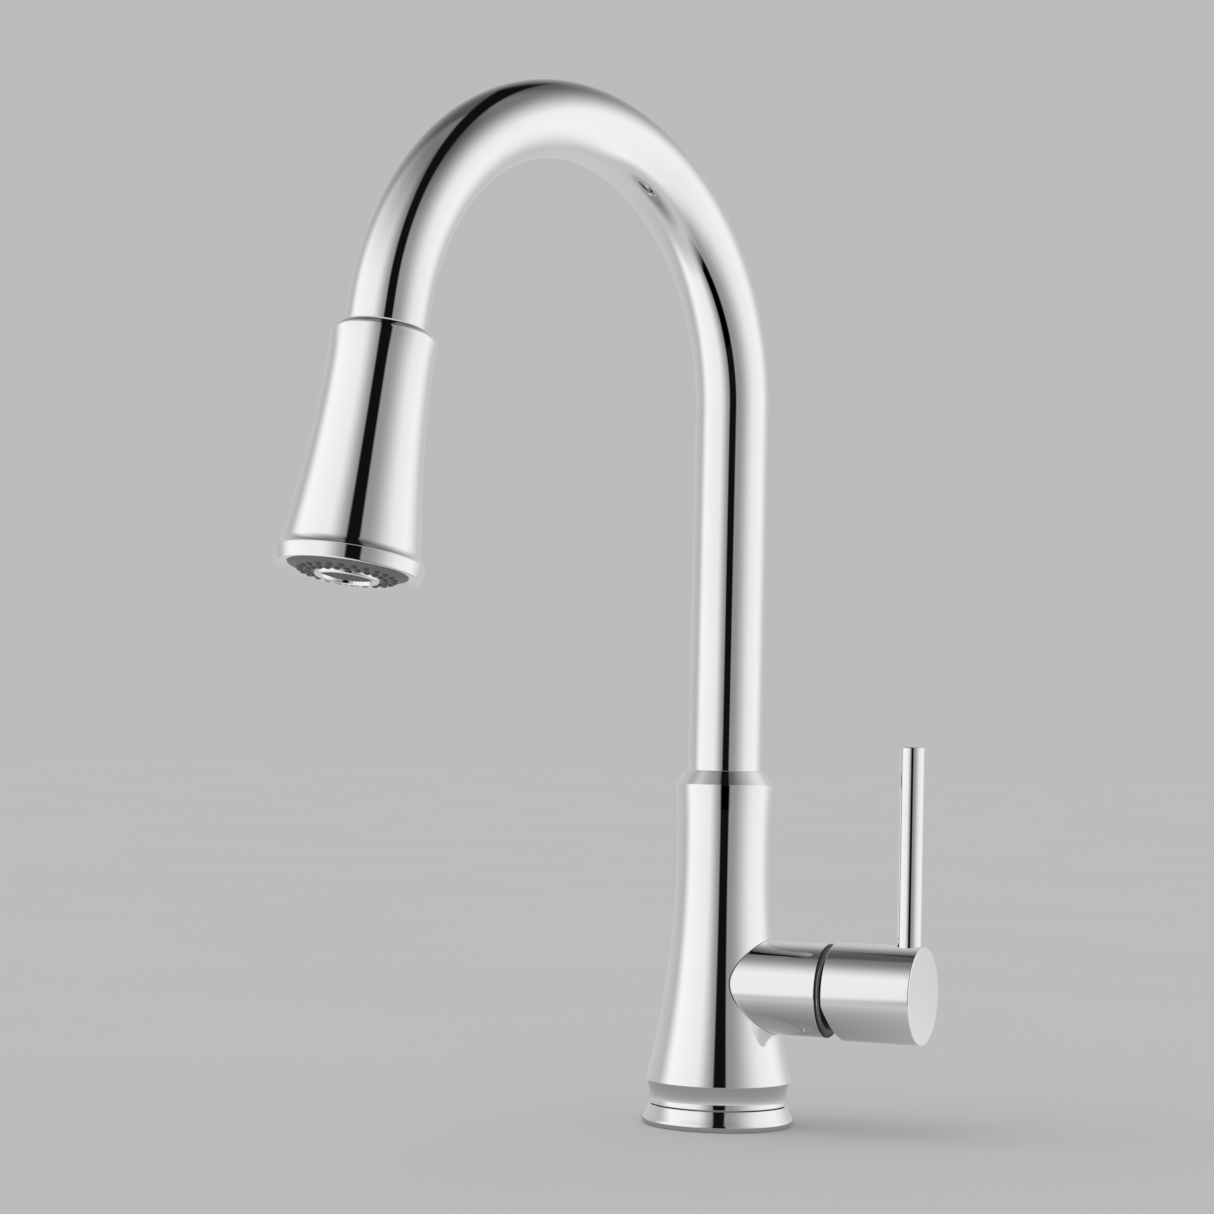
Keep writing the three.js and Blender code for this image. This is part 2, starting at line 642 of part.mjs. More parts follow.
const portHere = (name, radius) => {
  const [y, z] = portPlace(name, radius);
  return [VALVE_Z - z, y];
};
const innerPortRing = 5;
const baseTop = seatX + 4.2;
const discR = CARTRIDGE_R - 1.5;
const movingR = discR - 3.7;
const stemBall = { x: seatX + 13.4, radius: 2.6 };
const carrierFoot = stemBall.x + 1.4;
const housingLid = PIVOT_X - 4.4;
const housingTop = PIVOT_X - 1.6;
const carrierNeckR = 8.4;

function cartridgeBase() {
  const foot = seatX + 0.6;
  const tools = Object.keys(ports).flatMap((name) => {
    const [x, y] = portHere(name);
    const [innerX, innerY] = portHere(name, innerPortRing);
    return [
      bar([x, y, seatX], [x, y, foot + 0.9], 3.5),
      bar([x, y, foot], [innerX, innerY, baseTop + 0.4], 1.9),
    ];
  });
  return cut(disc(CARTRIDGE_R, foot, baseTop), ...tools);
}

function fixedDisc() {
  const holes = Object.keys(ports).map((name) => {
    const [x, y] = portHere(name, innerPortRing);
    return bar([x, y, seatX], [x, y, PIVOT_X], 1.9);
  });
  return cut(disc(discR, baseTop + FIT, baseTop + 2.8), ...holes);
}

function cartridgeHousing() {
  const wall = discR + RUN;
  const shoulder = nutSeatX + RUN;
  return turned([
    [wall, baseTop + FIT], [CARTRIDGE_R, baseTop + FIT], [CARTRIDGE_R, shoulder], [nutR - 0.1, shoulder],
    [nutR - 0.1, housingTop], [carrierNeckR + RUN, housingTop], [carrierNeckR + RUN, housingLid],
    [wall, housingLid],
  ], INNER);
}

const movingTop = baseTop + 5.4;

function movingDisc() {
  return cut(disc(movingR, baseTop + 2.9, movingTop), disc(3, baseTop + 2, baseTop + 4, SMALL));
}

function discCoupler() {
  const socket = bar([0, 0, stemBall.x - stemBall.radius - FIT], [0, 0, PIVOT_X], stemBall.radius + 0.4);
  return cut(disc(movingR, movingTop + FIT, stemBall.x + 1), socket);
}

function stemCarrier() {
  const flange = disc(discR - 0.1, carrierFoot, housingLid - RUN);
  const neck = disc(carrierNeckR, carrierFoot, PIVOT_X + 3.8);
  const width = stemR + RUN;
  const lower = box([-7.6, -width, carrierFoot - 1], [7.6, width, housingLid]);
  const upper = box([-6.4, -width, carrierFoot], [6.4, width, PIVOT_X + 5]);
  return cut(joined(flange, neck), lower, upper, pivotBar(carrierNeckR + 1, 1.35));
}

const pivotBar = (reach, radius) => bar([0, -reach, PIVOT_X], [0, reach, PIVOT_X], radius);
const stemTop = hubEnd - 8.7;

function stem() {
  const { x, radius } = stemBall;
  const ball = [-60, -20, 20, 50].map((tilt) => {
    const turn = degrees(tilt);
    return [radius * Math.cos(turn), x + radius * Math.sin(turn)];
  });
  const outline = [
    [0, x - radius], ...ball, [stemR - 1.4, x + 3.4], [stemR, x + 4.8], [stemR, stemTop], [0, stemTop],
  ];
  return cut(turned(outline, 16), pivotBar(stemR + 1, 1.45));
}

// The dome is part of a sphere round the lever's pin, so the hub keeps its distance as it tilts.
function domeCap() {
  const wall = 1.1;
  const hole = CARTRIDGE_R - 2.7;
  const seat = NECK_END - mouth.depth + RUN;
  const flangeTop = NECK_END + 0.4;
  const arc = (radius, from, to) => profile(
    (angle) => radius * Math.cos(angle), from, to, 3,
  ).map(([r, angle]) => [r, PIVOT_X + radius * Math.sin(angle)]);
  const outer = arc(domeR, Math.asin((flangeTop - PIVOT_X) / domeR), Math.acos(hole / domeR));
  const inner = arc(domeR - wall, Math.acos(hole / (domeR - wall)), Math.asin((seat - PIVOT_X) / (domeR - wall)));
  return turned([...outer, ...inner, [mouth.radius - RUN, seat], [mouth.radius - RUN, flangeTop]]);
}

function cartridgePieces() {
  for (const [name, [, seal]] of Object.entries(ports)) {
    const ring = sleeve(3.3, 2.3, seatX + 0.15, seatX + 1.2, SMALL);
    piece(valve, seal, ring.translate([...portHere(name), 0]), BLACK_RUBBER);
  }
  piece(valve, 'cartridge_base', cartridgeBase(), WHITE_PLASTIC);
  piece(valve, 'fixed_disc', fixedDisc(), CERAMIC);
  piece(valve, 'cartridge_housing', cartridgeHousing(), GREY_PLASTIC);
  piece(valve, 'moving_disc', movingDisc(), CERAMIC);
  piece(valve, 'disc_coupler', discCoupler(), WHITE_PLASTIC);
  piece(valve, 'stem_carrier', stemCarrier(), WHITE_PLASTIC);
  piece(valve, 'pivot_pin', pivotBar(carrierNeckR - 0.2, 1.2), STEEL);
  piece(valve, 'stem', stem(), BRASS);
  piece(valve, 'retaining_nut', sleeve(nutR, CARTRIDGE_R - 2.9, housingTop + RUN, NECK_END - 1.4), BRASS);
  piece(valve, 'dome_cap', domeCap(), CHROME);
}

// ---- handle ----

// Takes away the hub's lower inner edge, so that it doesn't meet the neck at full tilt.
function tiltRelief() {
  const tilt = degrees(TILT_MAX);
  const gap = NECK_END - PIVOT_X + 0.7;
  const start = ((HUB_START - PIVOT_X) * Math.cos(tilt) - gap) / Math.sin(tilt);
  const reach = hubR + 2;
  const rise = (reach - start) * Math.tan(tilt + degrees(0.6));
  const shape = new THREE.Shape([
    new THREE.Vector2(start, HUB_START), new THREE.Vector2(reach, HUB_START + rise),
    new THREE.Vector2(reach, HUB_START - 1), new THREE.Vector2(start, HUB_START - 1),
  ]);
  const wedge = new THREE.ExtrudeGeometry(shape, { depth: 2 * reach, bevelEnabled: false });
  return solid(wedge.rotateX(Math.PI / 2).translate(0, reach, 0));
}

const rodSeat = stemR + 2;
const gripX = (PIVOT_X + domeR + 5 + stemTop) / 2;

function handleHub() {
  const cavityEnd = PIVOT_X + domeR + 5;
  const socket = stemR + FIT;
  const block = turned([
    [hubBore, HUB_START], [hubR - 0.3, HUB_START], [hubR, HUB_START + 0.3], [hubR, hubEnd - 0.5],
    [hubR - 0.5, hubEnd], [0, hubEnd], [0, stemTop + FIT], [socket, stemTop + FIT], [socket, cavityEnd],
    [hubBore, cavityEnd],
  ]);
  const rodHole = bar([-hubR - 1, 0, leverX], [FIT - rodSeat, 0, leverX], LEVER_R + FIT, INNER);
  const screwHole = bar([stemR, 0, gripX], [hubR + 1, 0, gripX], screwR - 0.2);
  return cut(block, tiltRelief(), rodHole, screwHole);
}

function leverRod() {
  const length = LEVER_TOP - VALVE_Z - rodSeat;
  const edge = LEVER_R - 0.5;
  const rod = turned([
    [0, 0], [edge, 0], [LEVER_R, 0.5], [LEVER_R, length - 0.5], [edge, length], [0, length],
  ], INNER);
  return rod.rotate([0, -90, 0]).translate([-rodSeat, 0, leverX]);
}

function handlePieces() {
  piece(valve, 'handle_hub', handleHub(), CHROME);
  piece(valve, 'lever_rod', leverRod(), CHROME);
  const screw = bar([stemR + 0.4, 0, gripX], [stemR + 6.4, 0, gripX], screwR - 0.5);
  piece(valve, 'hub_set_screw', screw, STEEL);
}

deckPieces();
piece(faucet, 'body_shell', bodyShell(), CHROME);
spoutSwivel();
spoutPieces();
sprayHead();
cartridgePieces();
handlePieces();

export default faucet;
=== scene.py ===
# %% [markdown]
# # A pull-down kitchen faucet in polished chrome
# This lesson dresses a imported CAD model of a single-lever faucet. The CAD model gives every size and every
# joint; here each visible piece is modelled again with smooth surfaces, and each gets a finish made of nodes.
# Lengths in the outlines are millimetres, because that is how a drawing of a faucet is read. They are turned
# into metres in one place, when the mesh is made.

# %% Load the frame
import json
import math

import bpy
from mathutils import Matrix, Vector

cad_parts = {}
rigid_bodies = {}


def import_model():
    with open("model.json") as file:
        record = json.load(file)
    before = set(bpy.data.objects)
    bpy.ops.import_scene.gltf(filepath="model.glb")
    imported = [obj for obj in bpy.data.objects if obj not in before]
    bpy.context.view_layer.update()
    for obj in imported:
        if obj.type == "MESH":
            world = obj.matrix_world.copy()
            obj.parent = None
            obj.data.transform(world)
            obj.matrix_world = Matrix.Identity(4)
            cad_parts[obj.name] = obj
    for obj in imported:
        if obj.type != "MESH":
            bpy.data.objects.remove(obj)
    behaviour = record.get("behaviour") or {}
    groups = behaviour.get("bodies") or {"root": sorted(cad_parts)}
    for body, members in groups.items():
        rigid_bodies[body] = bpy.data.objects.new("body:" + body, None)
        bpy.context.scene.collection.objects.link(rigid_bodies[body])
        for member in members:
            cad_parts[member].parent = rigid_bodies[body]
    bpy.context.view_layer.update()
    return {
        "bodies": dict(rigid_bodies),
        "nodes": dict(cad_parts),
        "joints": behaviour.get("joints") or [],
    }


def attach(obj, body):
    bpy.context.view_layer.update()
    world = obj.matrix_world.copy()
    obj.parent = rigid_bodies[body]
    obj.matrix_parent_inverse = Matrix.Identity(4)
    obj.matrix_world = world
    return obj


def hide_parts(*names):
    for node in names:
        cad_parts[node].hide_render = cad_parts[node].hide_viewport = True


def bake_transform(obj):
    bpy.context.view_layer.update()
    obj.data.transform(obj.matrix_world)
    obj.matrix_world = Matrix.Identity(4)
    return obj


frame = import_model()
MM = 0.001
joints = {joint["name"]: joint for joint in frame["joints"]}

# %% [markdown]
# ## Camera
# The camera stands a little to the right of the front, almost level, with a long lens, so upright lines stay
# nearly upright. The camera leans by about a degree, as a hand-levelled tripod does.

# %% Camera
CAMERA_TURN = math.radians(24)       # to the right of the front
CAMERA_RISE = math.radians(2.65)     # looks up by this much
CAMERA_LEAN = math.radians(1.32)
CAMERA_DISTANCE = 1.1252
CAMERA_SIDE = -0.04745
CAMERA_HEIGHT = 0.1479

right = Vector((math.cos(CAMERA_TURN), math.sin(CAMERA_TURN), 0))
forward = Vector((-math.sin(CAMERA_TURN), math.cos(CAMERA_TURN), 0))
camera_data = bpy.data.cameras.new("product_camera")
camera_data.lens = 85.2
camera_data.sensor_width = 36
camera = bpy.data.objects.new("product_camera", camera_data)
camera.matrix_world = (
    Matrix.Translation(right * CAMERA_SIDE - forward * CAMERA_DISTANCE + Vector((0, 0, CAMERA_HEIGHT)))
    @ Matrix.Rotation(CAMERA_TURN, 4, "Z")
    @ Matrix.Rotation(math.pi / 2 + CAMERA_RISE, 4, "X")
    @ Matrix.Rotation(CAMERA_LEAN, 4, "Z")
)
bpy.context.scene.collection.objects.link(camera)
bpy.context.scene.camera = camera
print("camera at", [round(x, 3) for x in camera.matrix_world.translation])

# %% [markdown]
# ## Places that the pieces are made in
# Turned pieces are drawn about their own axis and then put in place. The faucet has three axes: the upright
# one, the valve's, which is level and points to the right, and the spray head's, which leans out with the end
# of the spout. Each is read from a joint, so the pieces go exactly where the CAD says.


# %% Axes of the faucet
def place_along(origin, along, across):
    """A frame at origin with its Z along one direction and its X along another."""
    z, x = Vector(along).normalized(), Vector(across).normalized()
    turn = Matrix((x, z.cross(x), z)).transposed().to_4x4()
    return Matrix.Translation(Vector(origin)) @ turn


UPRIGHT = Matrix.Identity(4)
valve_joint, head_joint, rocker_joint = (
    joints[name] for name in ("handle_temperature", "head_swivel", "spray_toggle_rock")
)
valve_z = valve_joint["pos_m"][2]
VALVE = place_along((0, 0, valve_z), valve_joint["axis"], (0, 0, -1))
HEAD = place_along(head_joint["pos_m"], -Vector(head_joint["axis"]), rocker_joint["axis"])
print("valve axis at height", valve_z, "and spray head at", [round(x, 4) for x in HEAD.translation])

# %% [markdown]
# ## Outlines
# Polished metal shows every corner. Real edges are a little round, and a bright line runs along each of them.
# So an outline is written as corners with a rounding, and each corner becomes an arc. A holding point on each
# side of the arc keeps the shading of the flat beside it flat.


# %% Rounded outlines
def rounded(corners, closed=True, steps=5):
    """Points (radius, height) of an outline whose corners (radius, height, rounding) become arcs."""
    points = []
    for i, (r, z, rounding) in enumerate(corners):
        here = Vector((r, z))
        if rounding == 0 or (not closed and i in (0, len(corners) - 1)):
            points.append(here)
            continue
        before = Vector(corners[i - 1][:2]) - here
        after = Vector(corners[(i + 1) % len(corners)][:2]) - here
        half = before.angle(after) / 2
        reach, hold = rounding / math.tan(half), rounding * 0.4
        back, ahead = before.normalized(), after.normalized()
        middle = here + (back + ahead).normalized() * (rounding / math.sin(half))
        first, last = here + back * reach - middle, here + ahead * reach - middle
        whole = first.angle(last)
        if before.length > reach + 2 * hold:
            points.append(here + back * (reach + hold))
        for k in range(steps + 1):
            t = k / steps
            arm = first * math.sin((1 - t) * whole) + last * math.sin(t * whole)
            points.append(middle + arm / math.sin(whole))
        if after.length > reach + 2 * hold:
            points.append(here + ahead * (reach + hold))
    return points


def samples(radius_at, low, high, count):
    """Corners without rounding along a smooth outline, from one height to another."""
    heights = [low + (high - low) * i / count for i in range(count + 1)]
    return [(radius_at(z), z, 0) for z in heights]


print("a square corner rounded by 1 mm has", len(rounded([(0, 0, 1), (9, 0, 1), (9, 9, 1)])) // 3, "points")

# %% [markdown]
# ## Turning a piece
# Nearly every part of a faucet is turned on a lathe, and a lathe is the Spin operator: the outline is drawn
# by extruding one vertex from point to point, and spun a full turn about the axis. A cylinder primitive with
# bevels would need a new bevel for each corner; one outline holds the whole shape, inside and out.


# %% The lathe
def start_clean():
    """Nothing selected, in object mode, before a new piece is begun."""
    if bpy.context.object and bpy.context.object.mode != "OBJECT":
        bpy.ops.object.mode_set(mode="OBJECT")
    bpy.ops.object.select_all(action="DESELECT")


def settle(piece, place, smooth_angle=35):
    """Puts a piece in its place, with its object at the origin, and smooths what is round."""
    bpy.ops.object.mode_set(mode="OBJECT")
    piece.matrix_world = place
    bpy.ops.object.transform_apply(location=True, rotation=True, scale=True)
    bpy.ops.object.shade_smooth_by_angle(angle=math.radians(smooth_angle))
    return piece


def begin_at(name, point):
    """A new piece in edit mode, which is one selected vertex."""
    start_clean()
    bpy.ops.mesh.primitive_plane_add(size=MM, location=[x * MM for x in point])
    piece = bpy.context.object
    piece.name = piece.data.name = name
    bpy.ops.object.transform_apply(location=True)
    bpy.ops.object.mode_set(mode="EDIT")
    bpy.ops.mesh.select_all(action="SELECT")
    bpy.ops.mesh.merge(type="CENTER")
    return piece


def turned(name, outline, place=UPRIGHT, sides=128, closed=True):
    """A piece spun about Z from its outline. A closed outline is a ring's section; an open one ends on the axis."""
    piece = begin_at(name, (outline[0][0], 0, outline[0][1]))
    route = list(outline[1:]) + ([outline[0]] if closed else [])
    here = outline[0]
    for point in route:
        step = ((point[0] - here[0]) * MM, 0, (point[1] - here[1]) * MM)
        bpy.ops.mesh.extrude_region_move(TRANSFORM_OT_translate={"value": step})
        here = point
    bpy.ops.mesh.select_all(action="SELECT")
    bpy.ops.mesh.spin(steps=sides, angle=math.tau, center=(0, 0, 0), axis=(0, 0, 1))
    bpy.ops.mesh.select_all(action="SELECT")
    bpy.ops.mesh.remove_doubles(threshold=0.001 * MM)
    bpy.ops.mesh.normals_make_consistent(inside=False)
    return settle(piece, place)


made = {}


def keep(piece, body, material, slot, *nodes):
    """Gives a piece its finish, its body and the CAD nodes that it stands for."""
    piece.data.materials.clear()
    piece.data.materials.append(material)
    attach(piece, body)
    if nodes:
        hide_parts(*nodes)
    made[piece.name] = len(piece.data.polygons)
    print(piece.name, "rides on", body, "and has", len(piece.data.polygons), "faces")
    return piece


def paint_shade(piece, place, material, is_there):
    """Lays a second material, here always a painted shade, on the faces of a piece at some (radius, height) of its own
    frame.
    """
    piece.data.materials.append(material)
    back = place.inverted()
    for polygon in piece.data.polygons:
        middle = back @ polygon.center / MM
        if is_there(math.hypot(middle.x, middle.y), middle.z):
            polygon.material_index = len(piece.data.materials) - 1


# %% [markdown]
# ## Finishes
# Chrome plate is a mirror with almost no colour of its own. What makes it look real is what it reflects, and
# the faint life in it: a trace of haze where water has dried, and castings whose surface isn't perfectly true.
# Those effects are node groups, so that chrome, steel and brass can share them with their own values.


# %% Node helpers
def add_node(tree, kind, **inputs):
    """A node with its input sockets set by name, where a blank in a name is written as an underscore."""
    node = tree.nodes.new(kind)
    for name, value in inputs.items():
        socket = node.inputs[name.replace("_", " ")]
        if isinstance(value, bpy.types.NodeSocket):
            tree.links.new(value, socket)
        else:
            socket.default_value = value
    return node


def add_math(tree, operation, first, second=0.0, third=0.0):
    node = tree.nodes.new("ShaderNodeMath")
    node.operation = operation
    for socket, value in zip(node.inputs, (first, second, third)):
        if isinstance(value, bpy.types.NodeSocket):
            tree.links.new(value, socket)
        else:
            socket.default_value = value
    return node.outputs[0]


def add_range(tree, value, low, high, to_low, to_high, kind="LINEAR"):
    node = add_node(tree, "ShaderNodeMapRange", Value=value, From_Min=low, From_Max=high, To_Min=to_low, To_Max=to_high)
    node.interpolation_type = kind
    return node.outputs["Result"]


def add_mix(tree, factor, first, second):
    node = tree.nodes.new("ShaderNodeMix")
    node.data_type = "RGBA"
    for socket, value in ((node.inputs["Factor"], factor), (node.inputs["A"], first), (node.inputs["B"], second)):
        if isinstance(value, bpy.types.NodeSocket):
            tree.links.new(value, socket)
        else:
            socket.default_value = value
    return node.outputs["Result"]


def new_group(name, inputs, outputs):
    """A shader node group with (name, default) inputs and (name, socket type) outputs."""
    group = bpy.data.node_groups.new(name, "ShaderNodeTree")
    for label, default in inputs:
        kind = "NodeSocketColor" if isinstance(default, tuple) else "NodeSocketFloat"
        socket = group.interface.new_socket(name=label, in_out="INPUT", socket_type=kind)
        socket.default_value = default
    for label, kind in outputs:
        group.interface.new_socket(name=label, in_out="OUTPUT", socket_type=kind)
    return group, group.nodes.new("NodeGroupInput"), group.nodes.new("NodeGroupOutput")


def place_noise(tree, scale, detail=3.0, stretch=(1, 1, 1)):
    """Noise in the object's own space, with its features about 1/scale metres wide."""
    coordinates = tree.nodes.new("ShaderNodeTexCoord")
    mapping = add_node(tree, "ShaderNodeMapping", Vector=coordinates.outputs["Object"], Scale=stretch)
    noise = add_node(tree, "ShaderNodeTexNoise", Vector=mapping.outputs[0], Scale=scale, Detail=detail)
    return noise.outputs[0]


# %% [markdown]
# ### Haze
# Fingers and hard water leave a haze so thin that it only widens the highlights. Large soft patches decide
# where it lies, and finer ones break it up.

# %% Haze group
group, given, result = new_group(
    "Haze",
    [("Clean Roughness", 0.03), ("Hazy Roughness", 0.08), ("Clean Color", (0.9, 0.9, 0.9, 1)), ("Hazy Color", (0.8, 0.8, 0.8, 1))],
    [("Roughness", "NodeSocketFloat"), ("Color", "NodeSocketColor")],
)
patches = add_range(group, place_noise(group, 22.0, 4.0), 0.42, 0.72, 0.0, 1.0)
specks = add_range(group, place_noise(group, 420.0, 2.0), 0.45, 0.75, 0.0, 0.5)
haze = add_math(group, "MULTIPLY_ADD", patches, specks, add_math(group, "MULTIPLY", patches, 0.5))
clear = add_math(group, "SUBTRACT", 1.0, haze)
rough = add_math(group, "ADD", add_math(group, "MULTIPLY", clear, given.outputs["Clean Roughness"]),
                 add_math(group, "MULTIPLY", haze, given.outputs["Hazy Roughness"]))
group.links.new(rough, result.inputs["Roughness"])
group.links.new(add_mix(group, haze, given.outputs["Clean Color"], given.outputs["Hazy Color"]), result.inputs["Color"])
HAZE = group
print("group", group.name, "puts out", [s.name for s in result.inputs if s.name])

# %% [markdown]
# ### Grain
# Moulded rubber, plastic and ceramic have a fine grain in their height and small changes in their colour. One
# group gives both, and each material sets how coarse and how strong.

# %% Grain group
group, given, result = new_group(
    "Grain",
    [("Grain Scale", 900.0), ("Light Color", (0.5, 0.5, 0.5, 1)), ("Dark Color", (0.4, 0.4, 0.4, 1))],
    [("Height", "NodeSocketFloat"), ("Color", "NodeSocketColor")],
)
coordinates = group.nodes.new("ShaderNodeTexCoord")
fine = add_node(group, "ShaderNodeTexNoise", Vector=coordinates.outputs["Object"], Scale=given.outputs["Grain Scale"], Detail=3.0)
broad = place_noise(group, 60.0, 3.0)
mask = add_range(group, add_math(group, "MULTIPLY_ADD", fine.outputs[0], 0.4, add_math(group, "MULTIPLY", broad, 0.6)), 0.35, 0.65, 0.0, 1.0)
group.links.new(fine.outputs[0], result.inputs["Height"])
group.links.new(add_mix(group, mask, given.outputs["Light Color"], given.outputs["Dark Color"]), result.inputs["Color"])
GRAIN = group
print("group", group.name, "puts out", [s.name for s in result.inputs if s.name])


# %% Materials
def new_material(name):
    material = bpy.data.materials.new(name)
    material.use_nodes = True
    tree = material.node_tree
    return material, tree, tree.nodes["Principled BSDF"]


def use_group(tree, group, **inputs):
    node = tree.nodes.new("ShaderNodeGroup")
    node.node_tree = group
    for name, value in inputs.items():
        node.inputs[name.replace("_", " ")].default_value = value
    return node


def bump(tree, shader, height, distance, strength=1.0):
    node = add_node(tree, "ShaderNodeBump", Height=height, Strength=strength, Distance=distance)
    tree.links.new(node.outputs[0], shader.inputs["Normal"])


def metal(name, clean, hazy, clean_roughness, hazy_roughness, wave_scale=0.0, wave_height=0.0, stretch=(1, 1, 1)):
    """A metal: its haze, and a wave or grain in its surface."""
    material, tree, shader = new_material(name)
    haze = use_group(tree, HAZE, Clean_Roughness=clean_roughness, Hazy_Roughness=hazy_roughness,
                     Clean_Color=(*clean, 1), Hazy_Color=(*hazy, 1))
    tree.links.new(haze.outputs["Color"], shader.inputs["Base Color"])
    tree.links.new(haze.outputs["Roughness"], shader.inputs["Roughness"])
    shader.inputs["Metallic"].default_value = 1.0
    if wave_height:
        bump(tree, shader, place_noise(tree, wave_scale, 1.0, stretch), wave_height * MM)
    return material


def moulded(name, light, dark, roughness, grain_scale=900.0, grain_height=0.02):
    """Rubber, plastic or ceramic, with its grain."""
    material, tree, shader = new_material(name)
    grain = use_group(tree, GRAIN, Grain_Scale=grain_scale, Light_Color=(*light, 1), Dark_Color=(*dark, 1))
    tree.links.new(grain.outputs["Color"], shader.inputs["Base Color"])
    shader.inputs["Roughness"].default_value = roughness
    bump(tree, shader, grain.outputs["Height"], grain_height * MM)
    return material


chrome = metal("polished_chrome", (0.93, 0.935, 0.945), (0.88, 0.885, 0.89), 0.025, 0.06)
cast_chrome = metal("cast_chrome", (0.93, 0.935, 0.945), (0.88, 0.885, 0.89), 0.025, 0.06, 30.0, 0.012)
# Near-black metal for bores, recesses and the dome in the hub's gap: painted shade where little light gets in.
painted_shade_metal = metal("painted_shade_metal", (0.022, 0.022, 0.023), (0.014, 0.014, 0.014), 0.30, 0.45, 500.0, 0.01)
brass = metal("machined_brass", (0.82, 0.62, 0.30), (0.70, 0.52, 0.26), 0.22, 0.38, 900.0, 0.01)
steel = metal("stainless_steel", (0.66, 0.66, 0.67), (0.56, 0.56, 0.57), 0.22, 0.36, 900.0, 0.01, (1, 1, 0.2))
copper = metal("drawn_copper", (0.83, 0.46, 0.30), (0.62, 0.33, 0.22), 0.24, 0.42, 700.0, 0.008, (1, 1, 0.1))
magnet = metal("coated_magnet", (0.17, 0.17, 0.18), (0.12, 0.12, 0.13), 0.34, 0.5, 800.0, 0.01)
grey_rubber = moulded("grey_rubber", (0.175, 0.177, 0.18), (0.162, 0.164, 0.167), 0.45, 1400.0, 0.002)
# A darker grey rubber, used only on the nozzle tips: painted shade, since they are the same rubber as the mat.
painted_shade_rubber = moulded("painted_shade_rubber", (0.115, 0.116, 0.118), (0.10, 0.101, 0.103), 0.40, 1400.0, 0.002)
black_rubber = moulded("black_rubber", (0.03, 0.03, 0.03), (0.018, 0.018, 0.018), 0.6, 1100.0, 0.02)
grey_plastic = moulded("grey_plastic", (0.20, 0.20, 0.205), (0.17, 0.17, 0.175), 0.40, 1500.0, 0.003)
white_plastic = moulded("white_plastic", (0.80, 0.80, 0.77), (0.72, 0.72, 0.69), 0.38, 1500.0, 0.008)
ceramic = moulded("fine_ceramic", (0.86, 0.84, 0.78), (0.80, 0.78, 0.73), 0.18, 1800.0, 0.004)
print("materials:", ", ".join(m.name for m in bpy.data.materials if m.users == 0 and m.use_nodes))

# %% [markdown]
# ## Base ring
# The ring under the body hides the hole in the worktop. Its side flares out to a rounded foot, so it reads as
# a bright band under the body. It is one outline, turned.


# %% Base ring
def curve_through(start, pull, end, count):
    """Corners without rounding along a quadratic curve."""
    a, b, c = Vector(start), Vector(pull), Vector(end)
    steps = [i / count for i in range(count + 1)]
    return [(*((1 - t) ** 2 * a + 2 * t * (1 - t) * b + t * t * c), 0) for t in steps]


RING_FOOT, RING_TOP = 0.3, 7.75
side = curve_through((29.42, 2.6), (28.0, 4.9), (27.0, RING_TOP), 10)
outline = rounded(
    [(17.4, RING_FOOT, 0.2), (28.35, RING_FOOT, 0.5), (29.55, 1.7, 0.7), *side[:-1], (27.0, RING_TOP, 0.25), (17.4, RING_TOP, 0.2)]
)
base_ring = turned("base_ring_chrome", outline, sides=144)
keep(base_ring, "faucet_body", chrome, "chrome", "base_ring")

# %% [markdown]
# ## A turned skin with ports
# The body carries the valve's neck on one side, and the spray head has a slot for its button. A Boolean would
# cut these in, but it leaves slivers along the seam, and a mirror finish shows each one as a scar. So here the
# turned surface leaves out a window of its grid, and rings of faces lead from the window's edge to the port's
# rim, all of them lying on the turned surface. From the rim, more rings follow the neck or the hole. This
# needs exact places for the vertices, and exact normals, so it is written as mesh code.


# %% Skin with ports
class Port:
    """A neck that stands out of a turned surface, or a hole that goes into it.

    turn and height say where it is. edge(angle, shrink) gives its outline as (across, up). columns and rows
    are the window, and lip lists (shrink, distance from the axis) for the rings that follow the rim.
    """

    def __init__(self, turn, height, edge, columns, rows, rounding, lip, outwards):
        self.turn, self.height, self.edge = turn, height, edge
        self.columns, self.rows, self.rounding = columns, rows, rounding
        self.lip, self.outwards = lip, outwards


def round_edge(radius):
    return lambda angle, shrink=0.0: ((radius - shrink) * math.cos(angle), (radius - shrink) * math.sin(angle))


def long_edge(half_length, half_width):
    """A slot with straight sides along the axis and round ends."""

    def edge(angle, shrink=0.0):
        radius, run = half_width - shrink, half_length - half_width
        c, s = math.cos(angle), math.sin(angle)
        if abs(c) > 1e-9 and abs(radius * s / c) <= run:
            return math.copysign(radius, c), math.copysign(radius, c) * s / c
        reach = run * abs(s) + math.sqrt(radius * radius - (run * c) ** 2)
        return reach * c, reach * s

    return edge


